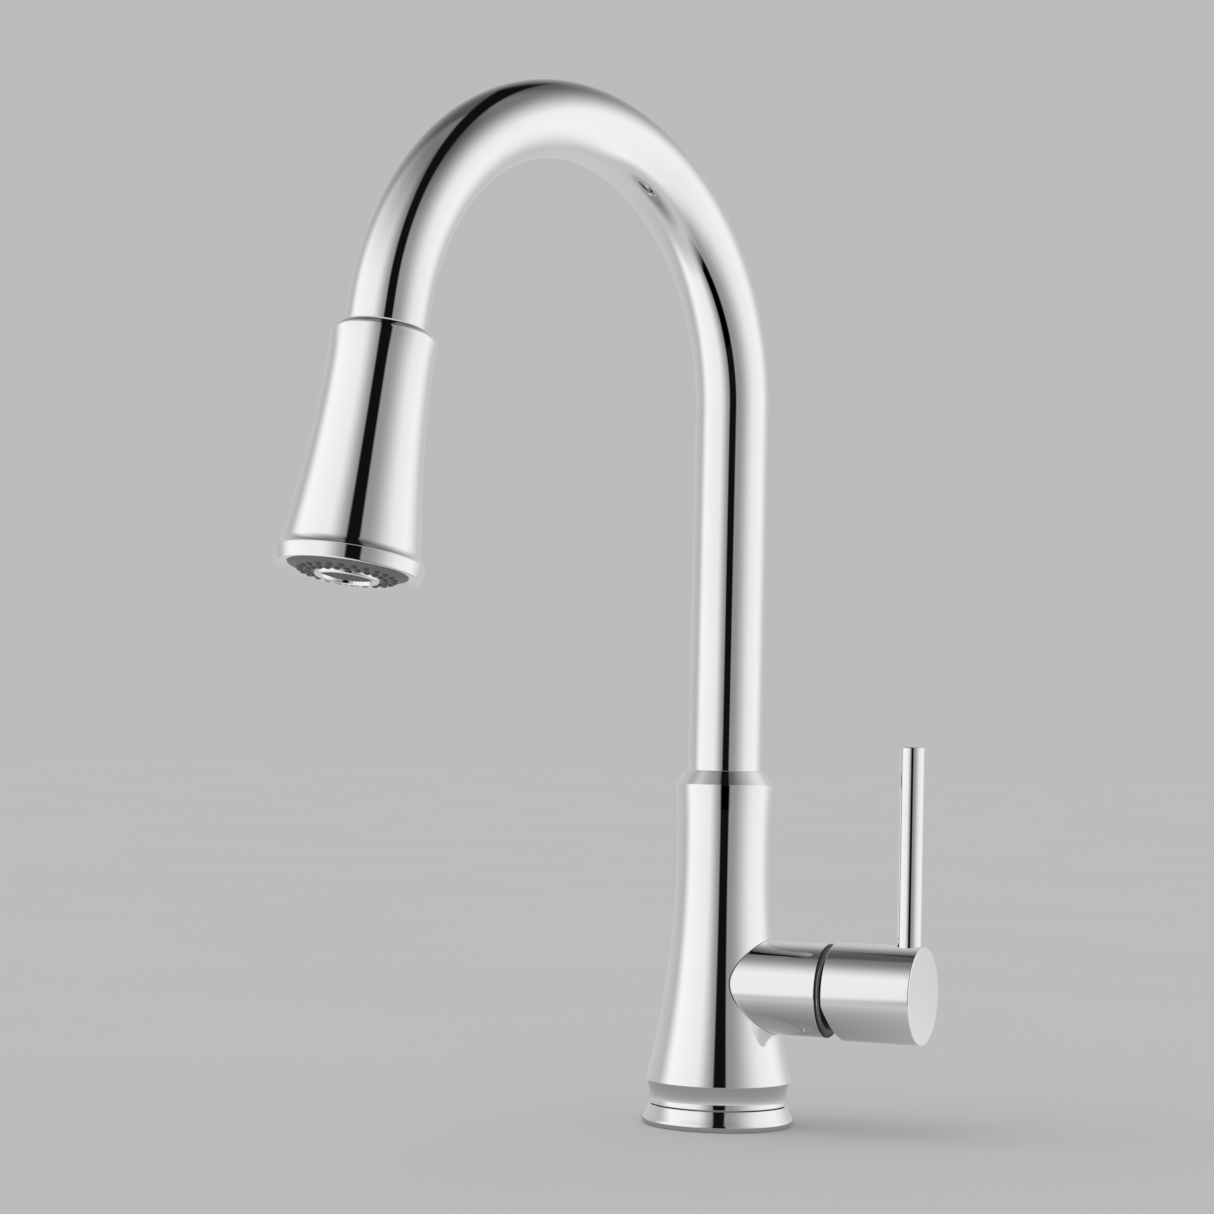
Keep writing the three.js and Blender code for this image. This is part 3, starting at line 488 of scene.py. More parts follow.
def skin(name, radius_at, outline, columns, ports, place, reshape=None):
    """A closed turned surface through outline, a list of (radius, height), with its ports.

    reshape, where given, moves each finished point, and must leave the turned surface on itself.
    """
    points, normals, faces = [], [], []
    slope = lambda z: (radius_at(z + 0.01) - radius_at(z - 0.01)) / 0.02

    def normal_at(angle, z):
        return Vector((math.cos(angle), math.sin(angle), -slope(z))).normalized()

    def add(point, normal=(0, 0, 0)):
        points.append(Vector(point))
        normals.append(Vector(normal))
        return len(points) - 1

    def on_surface(angle, z):
        r = radius_at(z)
        return add((r * math.cos(angle), r * math.sin(angle), z), normal_at(angle, z))

    def band(outer, inner):
        for m in range(len(outer)):
            n = (m + 1) % len(outer)
            faces.append((inner[m], outer[m], outer[n], inner[n]))

    open_cells, loops = set(), []
    for port in ports:
        middle = round(port.turn / math.tau * columns)
        left, right_ = middle - port.columns, middle + port.columns
        rows = [i for i, (r, z) in enumerate(outline)
                if abs(r - radius_at(z)) < 1e-4 and port.rows[0] - 1e-4 <= z <= port.rows[1] + 1e-4]
        low, high = min(rows), max(rows)
        open_cells |= {(i, j % columns) for i in range(low, high) for j in range(left, right_)}
        loop = [(low, j) for j in range(left, right_)] + [(i, right_) for i in range(low, high)]
        loop += [(high, j) for j in range(right_, left, -1)] + [(i, left) for i in range(high, low, -1)]
        loops.append(loop)

    inside_window = set()
    for loop in loops:
        rows, spans = [i for i, j in loop], [j for i, j in loop]
        inside_window |= {(i, j % columns) for i in range(min(rows) + 1, max(rows)) for j in range(min(spans) + 1, max(spans))}
    grid = {}
    for i, (r, z) in enumerate(outline):
        smooth = abs(r - radius_at(z)) < 1e-4 and 0 < i < len(outline) - 1
        pole = add((0, 0, z)) if r == 0 else None
        for j in range(columns):
            if (i, j) in inside_window:
                continue
            angle = math.tau * j / columns
            if pole is not None:
                grid[i, j] = pole
            elif smooth:
                grid[i, j] = on_surface(angle, z)
            else:
                grid[i, j] = add((r * math.cos(angle), r * math.sin(angle), z))
    rows = len(outline)
    for i in range(rows):
        for j in range(columns):
            if (i, j) not in open_cells:
                k, n = (i + 1) % rows, (j + 1) % columns
                face = dict.fromkeys((grid[i, j], grid[i, n], grid[k, n], grid[k, j]))
                if len(face) > 2:
                    faces.append(tuple(face))

    for port, loop in zip(ports, loops):
        axis = Vector((math.cos(port.turn), math.sin(port.turn), 0))
        across = Vector((-math.sin(port.turn), math.cos(port.turn), 0))
        sign = 1 if port.outwards else -1
        window = [(math.tau * j / columns - port.turn, outline[i][1]) for i, j in loop]
        widest, tallest = max(a for a, z in window), max(abs(z - port.height) for a, z in window)
        angles = [math.atan2((z - port.height) / tallest, a / widest) for a, z in window]
        rims = [port.edge(angle) for angle in angles]
        depths = [math.sqrt(max(radius_at(port.height + q) ** 2 - p * p, 0)) for p, q in rims]
        rim = [(math.atan2(p, n), port.height + q) for (p, q), n in zip(rims, depths)]

        def at(p, q, n, normal=(0, 0, 0)):
            return add(axis * n + across * p + Vector((0, 0, port.height + q)), normal)

        outer = [grid[i, j % columns] for i, j in loop]
        shares = [0.86, 0.7, 0.54, 0.4, 0.28, 0.18, 0.1, 0.05]
        for share in shares:
            ring = []
            for (a0, z0), (a1, z1) in zip(rim, window):
                length = math.hypot((a1 - a0) * radius_at(z0), z1 - z0)
                t = (port.rounding + share * (length - port.rounding)) / length
                ring.append(on_surface(port.turn + a0 + (a1 - a0) * t, z0 + (z1 - z0) * t))
            band(outer, ring)
            outer = ring

        # the rounding itself, from the surface over to the wall
        near, walls = [], []
        for angle, (p, q), n, (a0, z0), (a1, z1) in zip(angles, rims, depths, rim, window):
            length = math.hypot((a1 - a0) * radius_at(z0), z1 - z0)
            t = port.rounding / length
            a, z = port.turn + a0 + (a1 - a0) * t, z0 + (z1 - z0) * t
            r = radius_at(z)
            start = Vector((r * math.cos(a), r * math.sin(a), z))
            corner = axis * n + across * p + Vector((0, 0, port.height + q))
            end = corner + axis * sign * port.rounding
            ahead, behind = port.edge(angle + 0.01), port.edge(angle - 0.01)
            run = Vector((ahead[0] - behind[0], ahead[1] - behind[1])).normalized()
            wall = (across * run.y + Vector((0, 0, -run.x))) * sign
            near.append((start, corner, end, normal_at(a, z), wall))
            walls.append(wall)
        for step in range(0, 6):
            t = step / 5
            ring = []
            for start, corner, end, first, last in near:
                point = (1 - t) ** 2 * start + 2 * t * (1 - t) * corner + t * t * end
                ring.append(add(point, (first * (1 - t) + last * t).normalized()))
            band(outer, ring)
            outer = ring

        edge_at = [n + sign * port.rounding for n in depths]
        for number, (shrink, target) in enumerate(port.lip):
            first = number == 0
            stops = [0.25, 0.5, 0.75, 1.0] if first else [1.0]
            for stop in stops:
                ring = []
                for angle, begin, wall in zip(angles, edge_at, walls):
                    p, q = port.edge(angle, shrink)
                    n = begin + (target - begin) * stop if first else target
                    ring.append(at(p, q, n, wall if first else (0, 0, 0)))
                band(outer, ring)
                outer = ring
        centre = at(0, 0, port.lip[-1][1])
        faces.extend((centre, outer[m], outer[(m + 1) % len(outer)]) for m in range(len(outer)))

    mesh = bpy.data.meshes.new(name)
    turn = place.to_3x3()
    if reshape:
        points = [reshape(point) for point in points]
    mesh.from_pydata([place @ (p * MM) for p in points], [], faces)
    mesh.validate()
    piece = bpy.data.objects.new(name, mesh)
    bpy.context.scene.collection.objects.link(piece)
    start_clean()
    bpy.context.view_layer.objects.active = piece
    piece.select_set(True)
    bpy.ops.object.shade_smooth_by_angle(angle=math.radians(35))
    mesh.normals_split_custom_set_from_vertices([turn @ n if n.length else n for n in normals])
    return piece


# %% [markdown]
# ## Body
# The body is a brass casting: a crisp foot, a flare that narrows to a waist, and a chamfered top that the spout
# stands in. The valve's neck grows out of its side with a tight seam, and a grub screw at the back holds the
# spout. The neck ends in a small lip, and its bore holds the valve.

# %% Body
WAIST_Z, WAIST_R = 105.0, 17.95
FOOT_Z, FOOT_R, FOOT_BOTTOM = 17.0, 28.1, 8.05
SHOULDER_Z, BODY_TOP = 131.5, 137.0
SOCKET_R, SOCKET_FLOOR, PASSAGE_R = 14.6, 97.0, 7.2
NECK_R, NECK_END, NECK_BORE, SEAT_X = 18.0, 45.5, 14.9, 15.0


def body_radius(z):
    if z < WAIST_Z:
        return WAIST_R + (FOOT_R - WAIST_R) * ((WAIST_Z - z) / (WAIST_Z - FOOT_Z)) ** 2.05
    return WAIST_R + 1.05 * ((z - WAIST_Z) / (SHOULDER_Z - WAIST_Z)) ** 2.5


cove = curve_through((26.9, FOOT_BOTTOM), (26.0, 12.5), (FOOT_R, FOOT_Z), 10)
flare = samples(body_radius, FOOT_Z, SHOULDER_Z, 92)
corners = [
    (PASSAGE_R, FOOT_BOTTOM, 0.3), (26.9, FOOT_BOTTOM, 0.3), *cove[1:-1], (FOOT_R, FOOT_Z, 0.35),
    *flare[1:-1], (body_radius(SHOULDER_Z), SHOULDER_Z, 0.8), (15.4, BODY_TOP, 0.5), (SOCKET_R, BODY_TOP, 0.15),
    (SOCKET_R, SOCKET_FLOOR, 0.3), (PASSAGE_R, SOCKET_FLOOR, 0.3),
]
neck_lip = [(0, NECK_END - 0.75), (0.06, NECK_END - 0.5), (0.22, NECK_END - 0.22), (0.5, NECK_END - 0.05), (0.8, NECK_END),
            (1.0, NECK_END), (1.02, NECK_END - 0.05), (1.02, NECK_END - 1.1), (2.6, NECK_END - 1.15), (3.1, NECK_END - 1.3),
            (3.1, SEAT_X)]
neck = Port(0.0, valve_z / MM, round_edge(NECK_R), 34, (27.0, 82.0), 0.55, neck_lip, True)
screw_hole = Port(math.pi / 2, 117.0, round_edge(2.4), 8, (111.0, 123.0), 0.25, [(0, 15.2)], False)
body = skin("body_casting", body_radius, [tuple(p) for p in rounded(corners)], 160, [neck, screw_hole], UPRIGHT)
keep(body, "faucet_body", cast_chrome, "chrome", "body_shell")
# The neck's bore and mouth are made near-black: painted shade in the recess.
paint_shade(body, VALVE, painted_shade_metal, lambda r, z: z > 20.0 and r < NECK_R - 0.12)

# %% [markdown]
# ## Spout
# A gooseneck is one length of drawn tube, bent on a mandrel. The same is done here: a circle is extruded up
# the straight part, spun round the centre of the bend, and extruded to the end. Solidify gives the wall.

# %% Spout tube
TUBE_R, TUBE_WALL, ARCH_R, ARCH_SPRING = 14.3, 1.6, 97.4, 277.7
TUBE_LOW, SPOUT_END = 131.2, 8.6
arch_axis = Vector(rocker_joint["axis"])
outwards = arch_axis.cross(Vector((0, 0, 1)))
head_along = Vector(head_joint["axis"])
sweep = math.pi - head_along.angle(Vector((0, 0, -1)))

start_clean()
bpy.ops.mesh.primitive_circle_add(vertices=128, radius=TUBE_R * MM, location=(0, 0, TUBE_LOW * MM))
spout_tube = bpy.context.object
spout_tube.name = spout_tube.data.name = "spout_gooseneck"
bpy.ops.object.transform_apply(location=True)
bpy.ops.object.mode_set(mode="EDIT")
bpy.ops.mesh.select_all(action="SELECT")
for step in range(12):
    rise = (ARCH_SPRING - TUBE_LOW) / 12 * MM
    bpy.ops.mesh.extrude_region_move(TRANSFORM_OT_translate={"value": (0, 0, rise)})
bend_centre = outwards * ARCH_R * MM + Vector((0, 0, ARCH_SPRING * MM))
bpy.ops.mesh.spin(steps=128, angle=-sweep, center=bend_centre, axis=arch_axis)
bpy.ops.mesh.extrude_region_move(TRANSFORM_OT_translate={"value": head_along * SPOUT_END * MM})
bpy.ops.mesh.select_all(action="SELECT")
bpy.ops.mesh.remove_doubles(threshold=0.001 * MM)
bpy.ops.mesh.normals_make_consistent(inside=False)
bpy.ops.object.mode_set(mode="OBJECT")
wall = spout_tube.modifiers.new("wall", "SOLIDIFY")
wall.thickness, wall.offset = TUBE_WALL * MM, -1
bpy.ops.object.modifier_apply(modifier=wall.name)
settle(spout_tube, UPRIGHT)
end = max((v.co for v in spout_tube.data.vertices), key=lambda co: (co - HEAD.translation).dot(head_along))
print("the tube ends", round((end - HEAD.translation).dot(head_along) / MM, 2), "mm past the spray head's origin")
keep(spout_tube, "spout", chrome, "chrome", "spout_tube")

# %% [markdown]
# ## Spray head
# The head's shell flares like a bell, with a soft shoulder round the tube, and turns out into a thin lip. The
# bezel closes against the lip with a hairline seam and tapers down to the face.

# %% Spray head shell
HEAD_R, HEAD_LENGTH, HEAD_MOUTH, HEAD_WALL = 18.6, 78.5, 23.9, 1.9


def head_radius(z):
    down = -z
    if down < 12:
        return HEAD_R - 0.5 + 0.5 * (max(12 - down, 0) / 8) ** 2
    return HEAD_R - 0.5 + (HEAD_MOUTH - HEAD_R + 0.5) * ((down - 12) / (HEAD_LENGTH - 12)) ** 1.7


BEZEL_R, BEZEL_TOP = 25.7, -HEAD_LENGTH - 2.4
lip_start = -HEAD_LENGTH + 0.9
grip = samples(head_radius, lip_start, -4.0, 54)
lip = curve_through((BEZEL_R, BEZEL_TOP), (24.15, -HEAD_LENGTH - 0.9), (head_radius(lip_start), lip_start), 8)
inside = [(head_radius(z) - HEAD_WALL, z, 0) for z in (-9, -20, -32, -44, -54, -62, -70)]
corners = [
    (HEAD_MOUTH - HEAD_WALL, -HEAD_LENGTH, 0.2), (HEAD_MOUTH - HEAD_WALL + 0.6, BEZEL_TOP, 0.2), (BEZEL_R, BEZEL_TOP, 0.12), *lip[1:-1], *grip,
    (18.15, -2.55, 0), (16.7, -1.15, 0.5), (14.75, -0.3, 0.35), (12.6, -0.3, 0.2), (12.6, -2.0, 0.2), (10.2, -2.0, 0.2),
    (10.2, -4.2, 0.2), (16.0, -4.2, 0.5), *inside,
]
BUTTON = {"height": -39.0, "half": 9.5, "width": 4.3, "proud": 1.0}
slot_edge = long_edge(BUTTON["half"] + 0.45, BUTTON["width"] + 0.45)
slot = Port(math.pi / 2, BUTTON["height"], slot_edge, 14, (-54.5, -23.5), 0.35, [(0, 14.2)], False)
head_shell = skin("head_bell", head_radius, [tuple(p) for p in rounded(corners)], 144, [slot], HEAD)
keep(head_shell, "spray_head", chrome, "chrome", "head_shell")

# %% Bezel
outline = rounded([
    (21.7, BEZEL_TOP - 0.05, 0.1), (BEZEL_R, BEZEL_TOP - 0.05, 0.12), (24.85, -85.8, 0.5), (24.0, -85.75, 0.3),
    (20.85, -84.85, 0.12), (20.85, -84.4, 0.1), (21.7, -84.4, 0.1),
])
bezel = turned("head_bezel_ring", outline, HEAD, sides=144)
keep(bezel, "spray_head", chrome, "chrome", "head_bezel")

# %% [markdown]
# ## Spray face
# The face is soft grey rubber with two staggered rows of nozzles, so that lime can be rubbed off with a thumb.
# One nozzle is turned, then copied round each row, each copy with its own mesh, and joined to the mat.

# %% Spray face
FACE_Z, FACE_R, AERATOR_R = -85.0, 20.6, 11.0
NOZZLES = 24
MAT_IN = AERATOR_R + 0.3


def mat_height(radius):
    """The mat bulges towards the middle."""
    return FACE_Z - 1.9 * (1 - ((radius - MAT_IN) / (FACE_R - MAT_IN)) ** 2)


mat = turned("spray_face_mat", rounded([
    *((MAT_IN + (FACE_R - MAT_IN) * i / 12, mat_height(MAT_IN + (FACE_R - MAT_IN) * i / 12), 0) for i in range(13)),
    (FACE_R, FACE_Z + 0.8, 0.1), (21.4, FACE_Z + 0.8, 0.1), (21.4, FACE_Z + 2.4, 0.2), (MAT_IN, FACE_Z + 2.4, 0.2),
]), HEAD, sides=128)
nozzle_outline = [(0, 0.9), (0.32, 0.9), (0.36, -0.6), (0.46, -0.76), (0.7, -0.75), (0.98, -0.6), (1.2, -0.3), (1.32, 0.05), (1.45, 0.6),
                  (1.45, 0.9)]
copies = []
for row, radius in enumerate((AERATOR_R + 2.2, AERATOR_R + 5.0)):
    for i in range(NOZZLES):
        turn = math.tau * (i + row / 2) / NOZZLES
        spot = Matrix.Translation(Vector((radius * math.cos(turn), radius * math.sin(turn), mat_height(radius))) * MM)
        if not copies:
            first = turned("nozzle", nozzle_outline, sides=16, closed=True)
            first_mesh = first.data
            nozzle_rest = first_mesh.copy()
            copy = first
        else:
            copy = bpy.data.objects.new("nozzle", nozzle_rest.copy())
            bpy.context.scene.collection.objects.link(copy)
        copy.data.transform(HEAD @ spot)
        copies.append(copy)
start_clean()
for copy in copies:
    copy.select_set(True)
mat.select_set(True)
bpy.context.view_layer.objects.active = mat
bpy.ops.object.join()
keep(mat, "spray_head", grey_rubber, "grey_rubber", "spray_face")
# The nozzle tips below the mat are made darker: painted shade on the nubs.
paint_shade(mat, HEAD, painted_shade_rubber, lambda r, z: r < FACE_R - 1.6 and z < mat_height(r) - 0.12)

# %% [markdown]
# ## Aerator
# In the middle of the face a chromed ring holds the aerator, whose screen is a set of fine slats. The ring is
# turned; the slats are one bar, copied across the disc and cut to the circle's width.

# %% Aerator
LIP_Z = FACE_Z - 3.0
outline = rounded([
    (AERATOR_R - 1.7, -79.4, 0.2), (AERATOR_R, -79.4, 0.2), (AERATOR_R, LIP_Z, 0.55), (AERATOR_R - 1.7, LIP_Z, 0.5),
])
aerator_ring = turned("aerator_lip", outline, HEAD, sides=96)
keep(aerator_ring, "spray_head", chrome, "chrome", "aerator_ring")

SCREEN_R, SCREEN_Z = AERATOR_R - 1.9, LIP_Z + 1.2
screen = turned("aerator_slats", rounded([(0, SCREEN_Z + 1.0, 0), (SCREEN_R, SCREEN_Z + 1.0, 0.1), (SCREEN_R, SCREEN_Z + 2.3, 0.1), (0, SCREEN_Z + 2.3, 0)], closed=False), HEAD, sides=64, closed=False)
slats = [screen]
SLATS, SLAT_GAP, SLAT_TURN = 15, 1.15, math.radians(0)
for i in range(SLATS):
    offset = (i - (SLATS - 1) / 2) * SLAT_GAP
    half = math.sqrt(SCREEN_R ** 2 - offset ** 2) - 0.05
    start_clean()
    bpy.ops.mesh.primitive_cube_add(size=1)
    slat = bpy.context.object
    bpy.ops.object.mode_set(mode="EDIT")
    bpy.ops.transform.resize(value=(0.42 * MM, 2 * half * MM, 1.25 * MM), center_override=(0, 0, 0))
    bpy.ops.mesh.bevel(offset=0.08 * MM, segments=1)
    bpy.ops.object.mode_set(mode="OBJECT")
    slat.data.transform(HEAD @ Matrix.Rotation(SLAT_TURN, 4, "Z") @ Matrix.Translation(Vector((offset, 0, SCREEN_Z + 0.55)) * MM))
    slats.append(slat)
start_clean()
for slat in slats:
    slat.select_set(True)
bpy.context.view_layer.objects.active = screen
bpy.ops.object.join()
keep(screen, "spray_head", grey_plastic, "grey_plastic", "aerator_screen")

# %% [markdown]
# ## Spray button
# The rocker on the back of the head follows the bell's own curve, standing a little proud of it, with a
# shallow dish for the thumb. Its rings are its outline shrunk in steps and laid on the bell.


# %% Rings to a mesh
def ringed(name, rings, cap_start=True, cap_end=True):
    """A mesh through rings of points with the same count, in metres, with its ends closed."""
    count = len(rings[0])
    points = [p for ring in rings for p in ring]
    faces = []
    for i in range(len(rings) - 1):
        for m in range(count):
            n = (m + 1) % count
            faces.append((i * count + m, i * count + n, (i + 1) * count + n, (i + 1) * count + m))
    for ring, wanted, turn in ((0, cap_start, -1), (len(rings) - 1, cap_end, 1)):
        if wanted:
            middle = sum(rings[ring], Vector()) / count
            points.append(middle)
            for m in range(count):
                a, b = ring * count + m, ring * count + (m + 1) % count
                faces.append((len(points) - 1, a, b) if turn > 0 else (len(points) - 1, b, a))
    mesh = bpy.data.meshes.new(name)
    mesh.from_pydata(points, [], faces)
    piece = bpy.data.objects.new(name, mesh)
    bpy.context.scene.collection.objects.link(piece)
    start_clean()
    bpy.context.view_layer.objects.active = piece
    piece.select_set(True)
    bpy.ops.object.mode_set(mode="EDIT")
    bpy.ops.mesh.select_all(action="SELECT")
    bpy.ops.mesh.normals_make_consistent(inside=False)
    bpy.ops.object.mode_set(mode="OBJECT")
    bpy.ops.object.shade_smooth_by_angle(angle=math.radians(35))
    return piece


# %% Spray button
button_edge = long_edge(BUTTON["half"], BUTTON["width"])
BUTTON_POINTS = 96


def button_ring(shrink, lift, dish=0.0):
    """The button's outline shrunk inwards, at a height over the bell, in metres."""
    ring = []
    for k in range(BUTTON_POINTS):
        angle = math.tau * k / BUTTON_POINTS
        p, q = button_edge(angle, shrink)
        z = BUTTON["height"] + q
        deep = math.sqrt((head_radius(z) + lift - dish * abs(q / BUTTON["half"])) ** 2 - p * p)
        ring.append(HEAD @ (Vector((-p, deep, z)) * MM))
    return ring


def button_wall(depth):
    return [HEAD @ (Vector((-p, depth, BUTTON["height"] + q)) * MM)
            for p, q in (button_edge(math.tau * k / BUTTON_POINTS) for k in range(BUTTON_POINTS))]


lift = BUTTON["proud"]
rings = [button_wall(15.9), button_wall(16.5), button_ring(0, lift - 0.75), button_ring(0, lift - 0.45), button_ring(0.06, lift - 0.24),
         button_ring(0.2, lift - 0.08), button_ring(0.42, lift), button_ring(0.7, lift)]
rings += [button_ring(shrink, lift - 0.25 * (shrink - 0.7) / 3.5) for shrink in (1.2, 1.8, 2.5, 3.2, 3.8, 4.2)]
button = ringed("spray_button", rings)
keep(button, "toggle", chrome, "chrome", "spray_toggle")

# %% [markdown]
# ## Handle
# The hub is a plain cylinder with a crisp end, over the neck's dome. Its inner edge is cut back below the axis,
# so that it clears the neck when the lever tilts. The cut moves the skin's points as it is made. The lever is a thin
# rod let into it.

# %% Hub
HUB_R, HUB_START, HUB_END, HUB_BORE = 18.75, 48.0, 82.7, 16.6
LEVER_X, LEVER_R, LEVER_TOP = 76.55, 4.75, 147.8
TILT = math.radians(18)
PIVOT_X = 40.0


def hub_radius(z):
    return HUB_R


side = [(HUB_R, HUB_START + 7.0 + (HUB_END - 1.6 - HUB_START - 7.0) * i / 26, 0) for i in range(27)]
corners = [
    (HUB_BORE, HUB_START, 0.15), (HUB_R, HUB_START, 0.3), (HUB_R, HUB_START + 3.0, 0), *side, (HUB_R, HUB_END, 0.5), (9.0, HUB_END, 0), (0, HUB_END, 0),
    (0, 74.2, 0), (3.5, 74.2, 0.2), (3.5, 61.0, 0.3), (HUB_BORE, 61.0, 0.3),
]
rod_hole = Port(math.pi, LEVER_X, round_edge(LEVER_R + 0.07), 16, (LEVER_X - 8.3, HUB_END - 1.55), 0.12, [(0, 6.2)], False)
grub_hole = Port(0.0, 67.5, round_edge(2.3), 8, (63.0, 72.0), 0.2, [(0, 10.0)], False)
gap = NECK_END - PIVOT_X + 0.7
RELIEF = ((HUB_START - PIVOT_X) * math.cos(TILT) - gap) / math.sin(TILT)
SLANT = math.tan(TILT + math.radians(0.6))
RELIEF_END = 61.0


def cut_back(point):
    """Slants the hub's inner edge below the axis; local X points down."""
    share = min(max((RELIEF_END - point.z) / (RELIEF_END - HUB_START - 1.0), 0), 1)
    return point + Vector((0, 0, max(point.x - RELIEF, 0) * SLANT * share))


hub = skin("handle_hub_chrome", hub_radius, [tuple(p) for p in rounded(corners)], 144, [rod_hole, grub_hole], VALVE, cut_back)
keep(hub, "handle", chrome, "chrome", "handle_hub")
# The hub's bore and inner end are made near-black: painted shade inside the hub.
paint_shade(hub, VALVE, painted_shade_metal, lambda r, z: r < HUB_R - 0.3 and z < 62.0)

# %% Lever
foot = valve_z / MM + 5.3
outline = rounded([(0, foot, 0), (LEVER_R, foot, 0.4), (LEVER_R, LEVER_TOP, 0.55), (0, LEVER_TOP, 0)], closed=False)
lever = turned("lever_rod_chrome", outline, Matrix.Translation((LEVER_X * MM, 0, 0)), sides=72, closed=False)
keep(lever, "handle", chrome, "chrome", "lever_rod")

# %% [markdown]
# ## Dome cap
# Behind the hub a thin cap covers the valve. It is part of a sphere about the lever's pin, so the hub slides over it
# with the same gap at every tilt. Only a ring of it shows, made near-black as painted shade in the gap.

# %% Dome cap
DOME_R, DOME_WALL, DOME_HOLE = 16.0, 1.1, 9.8
low_angle, high_angle = math.asin((NECK_END + 0.4 - PIVOT_X) / DOME_R), math.acos(DOME_HOLE / DOME_R)
outer = [(DOME_R * math.cos(a), PIVOT_X + DOME_R * math.sin(a), 0)
         for a in (low_angle + (high_angle - low_angle) * i / 12 for i in range(13))]
inner_r = DOME_R - DOME_WALL
low_angle, high_angle = math.asin((NECK_END - 0.8 - PIVOT_X) / inner_r), math.acos(DOME_HOLE / inner_r)
inner = [(inner_r * math.cos(a), PIVOT_X + inner_r * math.sin(a), 0)
         for a in (high_angle + (low_angle - high_angle) * i / 12 for i in range(13))]
outline = rounded([*outer, *inner, (16.7, NECK_END - 0.8, 0.1), (16.7, NECK_END + 0.4, 0.2)])
dome = turned("valve_dome", outline, VALVE, sides=96)
keep(dome, "faucet_body", chrome, "chrome", "dome_cap")
# Nearly all of the cap is made near-black: painted shade in the gap between neck and hub.
paint_shade(dome, VALVE, painted_shade_metal, lambda r, z: r < DOME_R + 0.65)

# %% [markdown]
# ## Hose
# The spray hose lies hidden in the spout and comes out with the head. It is a braided hose, so its pattern has
# to follow it round the bend: the mesh is made ring by ring along its route, with a UV map that is unrolled
# from the hose. Between the spout and the hose's end it stretches across the joint that pulls it out.

# %% Braid
material, tree, shader = new_material("braided_hose")
uv = tree.nodes.new("ShaderNodeUVMap")
uv.uv_map = "unrolled"
parts = add_node(tree, "ShaderNodeSeparateXYZ", Vector=uv.outputs[0])
strands = []
for sign in (1, -1):
    lay = add_math(tree, "MULTIPLY_ADD", parts.outputs["Y"], sign * 220.0, add_math(tree, "MULTIPLY", parts.outputs["X"], 12.0))
    strands.append(add_math(tree, "ABSOLUTE", add_math(tree, "SINE", add_math(tree, "MULTIPLY", lay, math.pi))))
over = add_math(tree, "MAXIMUM", *strands)
shade = add_range(tree, over, 0.55, 1.0, 0.0, 1.0)
tree.links.new(add_mix(tree, shade, (0.16, 0.165, 0.17, 1), (0.62, 0.63, 0.65, 1)), shader.inputs["Base Color"])
tree.links.new(add_range(tree, over, 0.5, 1.0, 0.55, 0.32), shader.inputs["Roughness"])
shader.inputs["Metallic"].default_value = 0.6
bump(tree, shader, over, 0.25 * MM)
braid = material

# %% Hose
HOSE_R, HOSE_TAIL = 5.8, -75.0
FERRULE_TOP, FERRULE_END = 30.0, 22.3
TUBE_BORE = TUBE_R - TUBE_WALL


def smoothstep(x, low, high):
    t = min(max((x - low) / (high - low), 0), 1)
    return t * t * (3 - 2 * t)


def hose_offset(left):
    """How far the hose lies outside the middle of the bend, where left is the angle still to turn."""
    straight_left = math.atan((FERRULE_TOP - SPOUT_END) / ARCH_R)
    lift = ARCH_R / math.cos(straight_left) - ARCH_R
    slope = ARCH_R * math.tan(straight_left) / math.cos(straight_left)
    most = TUBE_BORE - HOSE_R - 1.0
    reach = 2 * (most - lift) / slope
    if left < straight_left:
        return ARCH_R / math.cos(left) - ARCH_R
    if left < straight_left + reach:
        part = (left - straight_left) / reach
        return lift + (most - lift) * (2 * part - part * part)
    return most * (1 - smoothstep(left, straight_left + reach, sweep))


def arch_point(angle, offset=0.0):
    radius = ARCH_R + offset
    out = ARCH_R - radius * math.cos(angle)
    return outwards * out + Vector((0, 0, ARCH_SPRING + radius * math.sin(angle)))


stop = sweep - math.atan((FERRULE_END + 0.3 - SPOUT_END) / ARCH_R)
route = [Vector((0, 0, HOSE_TAIL + (ARCH_SPRING - HOSE_TAIL) * i / 60)) for i in range(60)]
bent = [stop * i / 90 for i in range(90)] + [stop - 0.06 + 0.06 * i / 24 for i in range(25)]
route += [arch_point(angle, hose_offset(sweep - angle)) for angle in sorted(set(bent))]
HOSE_SIDES = 40
rings, length = [], 0.0
for i, point in enumerate(route):
    tangent = (route[min(i + 1, len(route) - 1)] - route[max(i - 1, 0)]).normalized()
    side_ = arch_axis
    up = tangent.cross(side_)
    rings.append([(point + (side_ * math.cos(a) + up * math.sin(a)) * HOSE_R) * MM
                  for a in (math.tau * k / HOSE_SIDES for k in range(HOSE_SIDES))])
lengths = [0.0]
for a, b in zip(route, route[1:]):
    lengths.append(lengths[-1] + (b - a).length * MM)


def braided(name, first, last):
    """The hose from one ring to another, with the braid's map measured along the whole hose."""
    piece = ringed(name, rings[first:last + 1])
    layer = piece.data.uv_layers.new(name="unrolled")
    caps = (last + 1 - first) * HOSE_SIDES
    for polygon in piece.data.polygons:
        spots = [piece.data.loops[i].vertex_index for i in polygon.loop_indices]
        columns_here = [v % HOSE_SIDES for v in spots if v < caps]
        wraps = max(columns_here) - min(columns_here) > HOSE_SIDES / 2
        for i, v in zip(polygon.loop_indices, spots):
            if v >= caps:
                layer.data[i].uv = (0.5, lengths[first] if v == caps else lengths[last])
                continue
            column = v % HOSE_SIDES + (HOSE_SIDES if wraps and v % HOSE_SIDES < HOSE_SIDES / 2 else 0)
            layer.data[i].uv = (column / HOSE_SIDES, lengths[first + v // HOSE_SIDES])
    print("hose:", name, round(lengths[last] - lengths[first], 3), "m of braid,", len(piece.data.polygons), "faces")
    return piece


